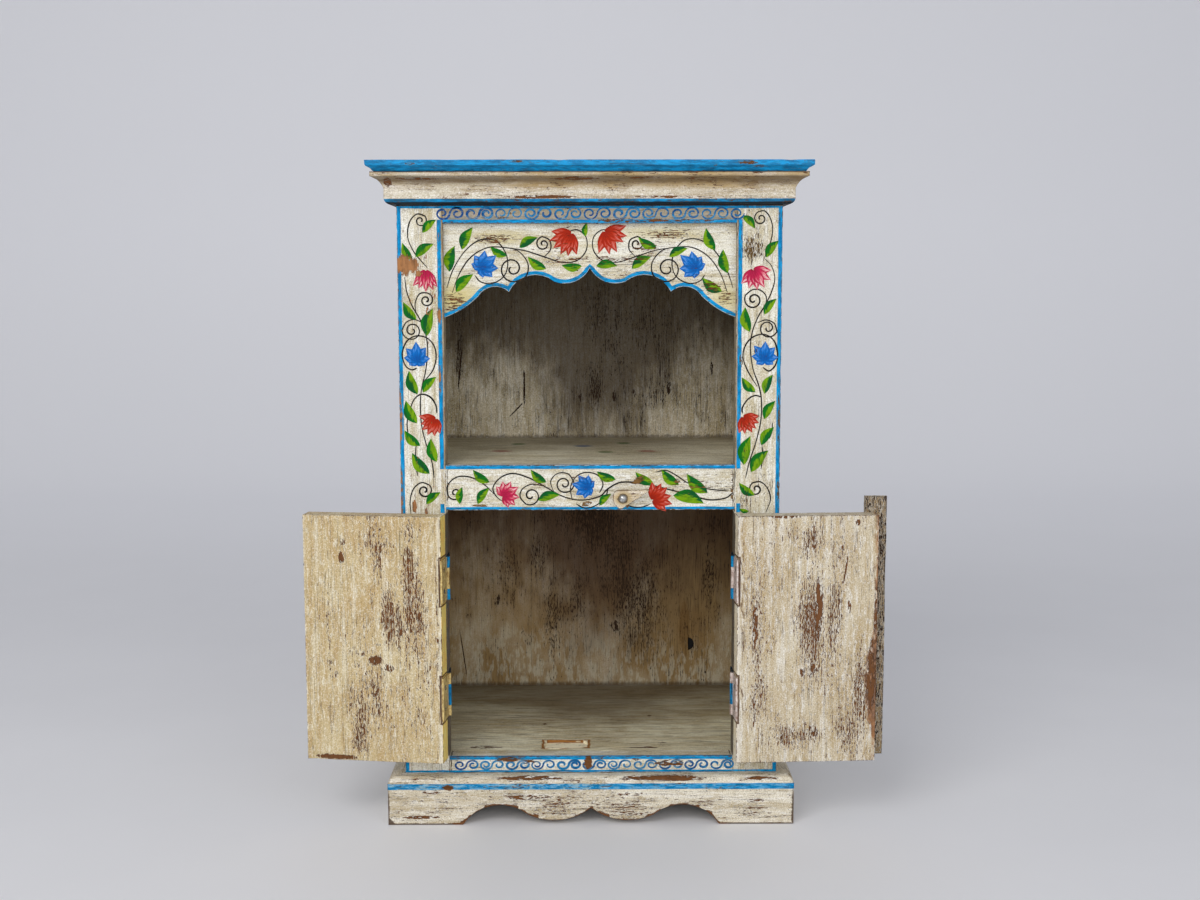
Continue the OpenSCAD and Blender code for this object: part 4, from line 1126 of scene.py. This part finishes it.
def draw_vines():
    draw_vine(BY_NODE["stile_left"], "stile_left_vine", [
        (1.0, 0.4, (-177, 622, -185, 631, -192, 640, -198, 655, -196, 671, -188, 680, -179, 678),
         -184, 673, -1.3),
        (1.1, 0.0, (-202, 612, -200, 596, -194, 580, -186, 566, -180, 550, -178, 530, -181, 508, -185, 492,
                    -187, 474, -186, 450, -181, 428, -175, 408, -173, 391)),
        (1.0, 0.9, (-190, 573, -191, 584, -186, 594, -178, 595), -179, 587, -1.5),
        (1.0, 0.5, (-183, 562, -192, 566, -201, 563, -206, 554), -195, 554, 1.7),
        (1.1, 0.2, (-183, 498, -173, 510, -169, 524, -171, 537, -179, 546, -191, 548, -201, 542, -206, 529,
                    -203, 516, -196, 511, -190, 513)),
        (1.3, 0.0, (-198, 468, -194, 478, -186, 484, -176, 481, -170, 472, -169, 463)),
        (1.0, 0.0, (-201, 460, -202, 450, -201, 440)),
        (0.9, 0.0, (-192, 430, -193, 420, -193, 408, -191, 393)),
        (1.1, 0.7, (-199, 350, -200, 365, -196, 379, -187, 386, -178, 383), -184, 377, -1.4),
    ], [
        (-182, 660, -167, 674, 1), (-194, 631, -204, 649, -1), (-190, 634, -170, 648, 1),
        (-190, 566, -204, 585, 1), (-179, 548, -172, 578, 1), (-190, 484, -199, 510, 1),
        (-184, 486, -169, 503, 1), (-191, 452, -203, 477, 1), (-188, 427, -205, 444, -1),
        (-178, 396, -197, 419, -1), (-170, 409, -176, 435, 1), (-182, 362, -166, 375, 1),
    ], [(-179, 619, 22, -92, PINK, 5, 32, 0.06, 0.46), (-190, 522.5, 19, 92, BLUE, 7, 122, 0.40, 0.60),
        (-170.5, 456.5, 19, -130, RED, 6, 52, 0.06, 0.52)])
    draw_vine(BY_NODE["stile_right"], "stile_right_vine", [
        (1.0, 0.4, (190, 632, 197, 650, 199, 664, 196, 676, 190, 683, 183, 682), 186, 675, 1.35),
        (1.1, 0.0, (190, 632, 198, 624, 202, 610, 198, 594, 191, 580, 184, 568, 178, 552, 176, 534, 179, 512,
                    186, 492, 189, 474, 188, 452, 183, 430, 176, 408, 172, 390)),
        (1.0, 0.9, (192, 580, 193, 590, 187, 597, 178, 598, 170, 592), 179, 587, 1.5),
        (1.0, 0.5, (184, 562, 193, 565, 202, 561, 205, 552), 195, 556, -1.5),
        (1.2, 0.2, (184, 492, 174, 508, 168, 524, 171, 538, 180, 547, 192, 549, 202, 542, 206, 528, 204, 516,
                    197, 509, 190, 513)),
        (1.3, 0.0, (189, 480, 182, 482, 174, 478, 168, 469, 168, 462)),
        (0.9, 0.0, (201, 452, 201, 443, 198, 434)),
        (0.9, 0.0, (190, 425, 191, 414, 189, 400)),
        (1.1, 0.6, (195, 352, 200, 366, 197, 378, 189, 386, 180, 385), 184, 378, 1.3),
    ], [
        (166, 678, 180, 664, 1), (192, 633, 206, 651, 1), (175, 552, 170, 579, -1), (191, 571, 204, 588, 1),
        (182, 486, 167, 502, 1), (192, 484, 201, 505, -1), (192, 456, 204, 476, 1), (189, 427, 203, 447, -1),
        (170, 405, 177, 437, 1), (178, 397, 197, 421, 1), (182, 371, 165, 385, 1), (176, 353, 165, 356, 1),
    ], [(178.5, 619, 22, -66, PINK, 6, 60, 0.1, 0.5), (192, 523.5, 19, 86, BLUE, 7, 122, 0.40, 0.58),
        (169, 458, 19, -51, RED, 6, 52, 0.06, 0.5)])
    draw_vine(BY_NODE["arch_board"], "arch_vine", [
        (1.0, 0.2, (-157, 600, -150, 620, -137, 640, -121, 652, -104, 652, -93, 640, -90, 625, -95, 612,
                    -108, 605, -120, 607, -126, 614)),
        (1.0, 0.6, (-151, 595, -143, 616, -130, 634, -112, 644, -92, 644, -78, 640, -68, 627, -70, 613,
                    -82, 607), -85, 621, -1.45),
        (1.0, 0.0, (-92, 644, -72, 641, -50, 634, -30, 628, -14, 630, -4, 641, -4, 655, -13, 663, -22, 662)),
        (1.0, 0.7, (-50, 634, -43, 642, -44, 652, -52, 656), -51, 648, 1.4),
    ], [
        (-154, 618, -148, 646, -1), (-140, 642, -128, 666, 1), (-147, 596, -128, 615, 1),
        (-91, 635, -109, 645, -1), (-77, 644, -57, 655, -1), (-48, 621, -68, 634, -1),
        (-9, 624, -31, 625, -1), (-5, 656, -3, 671, 1),
        (151, 616, 146, 642, 1), (137, 641, 127, 665, -1), (145, 596, 123, 611, 1), (87, 634, 107, 643, 1),
        (73, 644, 53, 655, -1), (46, 621, 67, 634, 1), (7, 624, 30, 624, 1),
    ], [(-118, 623, 20, 40, BLUE, 7, 118, 0.4, 0.60), (-20.5, 659, 25, -130, RED, 6, 52, 0.08, 0.46),
        (16.5, 661, 25, -44, RED, 6, 54, 0.08, 0.44), (115, 622, 20, 140, BLUE, 7, 118, 0.4, 0.60)],
        sides=(1, -1))
    draw_vine(BY_NODE["middle_rail"], "middle_rail_vine", [
        (1.1, 0.6, (-107, 373, -118, 384, -133, 392, -148, 392, -158, 383, -158, 372), -150, 374, 1.2),
        (1.2, 0.2, (-96, 364, -104, 370, -108, 380, -100, 391, -86, 396, -68, 391, -50, 381, -30, 370,
                    -10, 366, 10, 370, 20, 379, 35, 386, 60, 384, 90, 377, 112, 371, 132, 366, 150, 368,
                    158, 374)),
        (1.0, 0.7, (-50, 381, -64, 384, -75, 379, -78, 370, -72, 362), -66, 371, 1.3),
        (1.0, 0.6, (-40, 374, -44, 387, -36, 396, -24, 395, -18, 385), -29, 384, -1.5),
        (1.0, 0.2, (-20, 366, -22, 380, -16, 392, -5, 397, 8, 394, 14, 384, 10, 374)),
        (1.0, 0.2, (20, 380, 16, 368, 6, 360, -6, 357, -16, 362)),
        (1.0, 0.0, (72, 397, 84, 399, 96, 393, 108, 385, 122, 380, 140, 377, 154, 377)),
        (1.1, 0.0, (34, 365, 44, 359, 56, 358, 66, 361)),
    ], [
        (-145, 362, -142, 381, -1), (-112, 386, -130, 400, -1), (-125, 362, -112, 380, 1),
        (-49, 386, -66, 400, -1), (-58, 366, -34, 372, 1), (28, 389, 7, 398, -1), (10, 360, 23, 373, 1),
        (70, 384, 50, 397, 1), (98, 383, 79, 400, -1), (130, 374, 107, 395, -1), (92, 371, 126, 362, 1),
    ], [(-95, 371.5, 18, 28, PINK, 7, 100, 0.2, 0.58), (-3.5, 380.5, 17, 170, BLUE, 7, 122, 0.35, 0.62),
        (70, 366.5, 21.5, 26, RED, 6, 62, 0.1, 0.52)])


def lines(board, name, strokes, side="front", pigment=line_blue):
    """Stripes, as (a0, b0, a1, b1), and lines along an arris, as (path, width)."""
    film = Film(board, name, (pigment,), side)
    for stroke in strokes:
        if len(stroke) == 2:
            film.lap(*stroke)
        else:
            film.stripe(*stroke)
    film.finish()


def level_line(left, right, levels):
    """A stripe from left to right between two levels."""
    return left, levels[0], right, levels[1]


def stile_lines(board, side):
    """Blue down both edges of a stile, and across it under the cornice and above the plinth."""
    outer, inner = side * STILE_OUT, side * STILE_IN
    outline = steps_between((outer, PLINTH_TOP), (outer, FRAME_TOP))[::side]
    a0, a1 = sorted((inner + side * 2.0, inner + side * 6.3))
    left, right = sorted((inner, outer))
    lines(board, board.node + "_lines", [
        (outline, 4.6), (a0, SHELF - 4, a1, NICHE_TOP + 4), (a0, MIDDLE_LOW - 3, a1, MIDDLE_LOW + 7),
        level_line(left, right, UNDER_CORNICE), level_line(left, right, OVER_PLINTH)])


def rail_lines():
    """Blue along each rail's arris at an opening, and the thin lines that go on from the stiles."""
    left, right = -STILE_IN, STILE_IN

    def above(b, width):
        return steps_between((right, b), (left, b)), width

    def below(b, width):
        return steps_between((left, b), (right, b)), width

    for name, strokes in (("top_rail", [level_line(left, right, UNDER_CORNICE), below(NICHE_TOP, 4)]),
                          ("middle_rail", [above(SHELF, 4), below(MIDDLE_LOW, 3.4)]),
                          ("bottom_rail", [above(FLOOR, 3.4), level_line(left, right, OVER_PLINTH)])):
        lines(BY_NODE[name], name + "_lines", strokes)


def scroll_band(node, a0, b0, count, pitch, rise, width, turns=1.32, core=0.26):
    """Spirals in linked pairs: out of one anticlockwise, then over and into the next clockwise."""
    film = Film(BY_NODE[node], node + "_scrolls", (scroll_blue,))
    samples = int(turns * 20)
    for pair in range(0, count, 2):
        path = []
        lean = film.rng.uniform(-0.25, 0.25)

        def wind(number, turn, r):
            a = a0 + number * pitch + pitch / 2 * r * math.cos(turn)
            path.append((a, b0 + rise * r * math.sin(turn)))

        for i in range(samples + 1):
            share = i / samples
            wind(pair, -2 * math.pi * (turns + lean) * (1 - share), core + (1 - core) * share)
        if pair + 1 < count:
            for i in range(1, samples + 1):
                share = i / samples
                wind(pair + 1, math.pi - 2 * math.pi * (turns - lean) * share, 1 - (1 - core) * share)
        film.ribbon(path, width * film.rng.uniform(0.8, 1.25))
    film.finish()


def paint_door(board, side):
    """The fronts of the doors, folded out of sight: a blue border and one sprig of the same vine."""
    inset, wide = 4.0, 4.4
    a0, b0, a1, b1 = board.low.x + inset, board.low.z + inset, board.high.x - inset, board.high.z - inset
    lines(board, board.body + "_lines", [
        (a0, b0, a0 + wide, b1), (a1 - wide, b0, a1, b1), (a0, b0, a1, b0 + wide), (a0, b1 - wide, a1, b1)])
    draw_vine(board, board.body + "_vine", [
        (1.3, 0.0, (-6, 96, 2, 126, 10, 156, 4, 188, -6, 214, -2, 244, 6, 266)),
        (1.1, 0.6, (5, 140, 24, 152, 42, 148, 48, 132), 36, 134, -1.6),
        (1.1, 0.6, (8, 170, -12, 182, -32, 180, -42, 166), -30, 164, 1.6),
        (1.1, 0.6, (-6, 212, 14, 224, 34, 222, 44, 208), 32, 206, -1.6),
        (1.1, 0.6, (-3, 238, -22, 250, -40, 246, -46, 232), -34, 232, 1.6),
        (1.1, 0.6, (-6, 96, -22, 104, -36, 100, -40, 88), -30, 90, 1.5),
        (1.1, 0.6, (-6, 96, 12, 102, 28, 98, 32, 88), 22, 90, -1.5),
        (1.1, 0.6, (6, 266, 22, 284, 38, 300, 32, 318, 18, 322), 20, 310, 1.3),
        (1.1, 0.6, (6, 266, -12, 284, -34, 296, -38, 314, -26, 322), -26, 311, -1.3),
    ], [
        (3, 130, -20, 142, 1), (9, 158, 30, 172, 1), (5, 190, 24, 200, 1), (-4, 206, -26, 214, -1),
        (-4, 230, 18, 240, 1), (0, 250, -20, 264, 1), (22, 284, 42, 280, 1), (-14, 286, -34, 280, -1),
        (-2, 108, -20, 120, 1), (0, 112, 20, 120, -1), (36, 300, 54, 308, 1), (-36, 300, -54, 306, 1),
    ], [(6, 280, 38, 90, RED, 7, 66, 0.12, 0.5), (36, 178, 24, 60, BLUE, 7, 120, 0.4, 0.66),
        (-38, 200, 28, 124, PINK, 6, 56, 0.08, 0.5)],
        sides=(side,), middle=(board.low.x + board.high.x) / 2 - side * 4)


def paint_cupboard():
    draw_vines()
    stile_lines(BY_NODE["stile_left"], -1)
    stile_lines(BY_NODE["stile_right"], 1)
    rail_lines()
    scroll_band("top_rail", a0=-STILE_IN, b0=680.6, count=21, pitch=16.0, rise=7.0, width=1.8)
    scroll_band("bottom_rail", a0=-148, b0=63.4, count=22, pitch=14.45, rise=5.8, width=1.9)
    lines(BY_NODE["arch_board"], "arch_line", [(curved_edge(BY_NODE["arch_board"], STILE_IN + 0.01), 4.2)])
    for side, reach in (("front", PLINTH_SIDE), ("left", CASE_BACK), ("right", CASE_BACK)):
        node = "plinth_" + side
        lines(BY_NODE[node], node + "_stripe", [level_line(-reach, reach, ON_PLINTH)], side, rubbed_blue)
    for body, side in (("left_door", -1), ("right_door", 1)):
        planks = dict(body=body, wear=0.14, joined=(body + "_hinge_plank",))
        paint_door(Board(body + "_free_plank", "z", **planks), side)


# ---- Iron, steel and bare wood ----


def painted_iron(name, paint, ochre, line):
    """Old hinge iron under worn paint that has run down it in streaks, and painted shade on the leaf behind
    the knuckle.
    """
    look = Look(name)
    place = look.stretch(look.put("TexCoord", {}, "Object"), (1 / MM,) * 3)
    patch, speck = look.noise(place, 0.30, 4, 0.6), look.noise(place, 1.3, 3, 0.6)
    streak = look.noise(look.stretch(place, (0.9, 0.9, 0.04)), 1, 3, 0.6)
    chip = (patch * 0.5 + speck * 0.5).ramp(0.60, 0.62)
    axis = (Vector(joints["left_door_hinge"]["pos_m"]) / MM).y
    # The leaf behind the knuckle takes the streak colour: painted shade.
    behind = look.split(place)[1].ramp(axis + 2.6, axis + 3.0)
    rust = speck.ramp(0.4, 0.6).mix((0.20, 0.12, 0.08), (0.42, 0.24, 0.13))
    colour = patch.ramp(0.4, 0.62).mix(paint, ochre).coats(
        (streak.ramp(0.52, 0.58, 0.0, 0.8), line), (behind, line), (chip, rust))
    return look.finish(Base_Color=colour, Roughness=chip.ramp(0, 1, 0.5, 0.8),
                       Normal=(speck - chip).bump(0.15), Specular_IOR_Level=0.2)


def worn_steel(name, rust_share):
    look = Look(name)
    place = look.stretch(look.put("TexCoord", {}, "Object"), (1 / MM,) * 3)
    fine = look.noise(place, 2.2, 4, 0.6)
    rust = look.noise(place, 0.5, 3).ramp(0.62 - rust_share * 0.3, 0.70 - rust_share * 0.3)
    steel = fine.ramp(0.35, 0.65).mix((0.60, 0.60, 0.59), (0.76, 0.76, 0.75))
    brown = fine.ramp(0.4, 0.6).mix((0.23, 0.14, 0.10), (0.42, 0.26, 0.16))
    return look.finish(Base_Color=rust.mix(steel, brown), Metallic=rust.ramp(0, 1, 1.0, 0.1),
                       Roughness=rust.ramp(0, 1, 0.26, 0.7) + fine * 0.15, Normal=fine.bump(0.05))


def bare_wood(name):
    """Unpainted cleats, with the grain from front to back."""
    look = Look(name)
    place = look.put("TexCoord", {}, "Object")
    grain, cloud = (look.noise(look.stretch(place, [1 / (size * MM) for size in sizes]), 1, detail, roughness)
                    for sizes, detail, roughness in (((1.2, 60, 1.2), 4, 0.6), ((18, 120, 18), 3, 0.55)))
    colour = cloud.ramp(0.35, 0.65).mix((0.62, 0.45, 0.28), (0.50, 0.34, 0.20)).coats(
        (grain.ramp(0.42, 0.66), (0.33, 0.21, 0.12)))
    return look.finish(Base_Color=colour, Roughness=grain.ramp(0.3, 0.7, 0.62, 0.85), Normal=grain.bump(0.25))


def dress(material, *names, ease=0.0):
    """Gives CAD nodes a material, and where ease is set, softer arrises."""
    for name in names:
        node = nodes[name]
        for slot in node.material_slots:
            slot.material = material
        if ease:
            bevel = node.modifiers.new("ease", "BEVEL")
            bevel.width, bevel.segments = ease * MM, 2
            bevel.limit_method, bevel.angle_limit = "ANGLE", math.radians(40)


def dress_hardware():
    """Blue frame leaves, door leaves as their doors are painted, steel pins and screws, bare cleats."""
    places = [side + "_" + level for side in ("left", "right") for level in ("upper", "lower")]
    frame_leaves, door_leaves, pins = (
        [place + part for place in places] for part in ("_frame_leaf", "_door_leaf", "_pin"))
    blue = painted_iron("blue_iron", (0.0, 0.50, 0.72), (0.0, 0.60, 0.82), (0.04, 0.16, 0.22))
    pale = painted_iron("ochre_iron", (0.86, 0.77, 0.52), (0.74, 0.62, 0.38), (0.40, 0.28, 0.14))
    grey = painted_iron("lilac_iron", (0.88, 0.83, 0.80), (0.76, 0.68, 0.64), (0.46, 0.33, 0.26))
    dress(blue, *frame_leaves, ease=0.3)
    dress(pale, *door_leaves[:2], ease=0.3)
    dress(grey, *door_leaves[2:], ease=0.3)
    dress(worn_steel("pin_steel", 0.6), *pins, "back_nails", "strip_nails")
    dress(worn_steel("hinge_screw_steel", 0.5), "frame_hinge_screws", "left_door_hinge_screws",
          "right_door_hinge_screws")
    dress(worn_steel("button_screw_steel", 0.0), "turn_button_screw", ease=0.2)
    dress(bare_wood("cleat_wood"), "top_cleats", "shelf_cleats", "floor_cleats", ease=0.5)


# ---- The whole cupboard ----

add_camera()
add_stage()
add_light()
for board in BOARDS:
    worn_copy(board)
paint_cupboard()
dress_hardware()
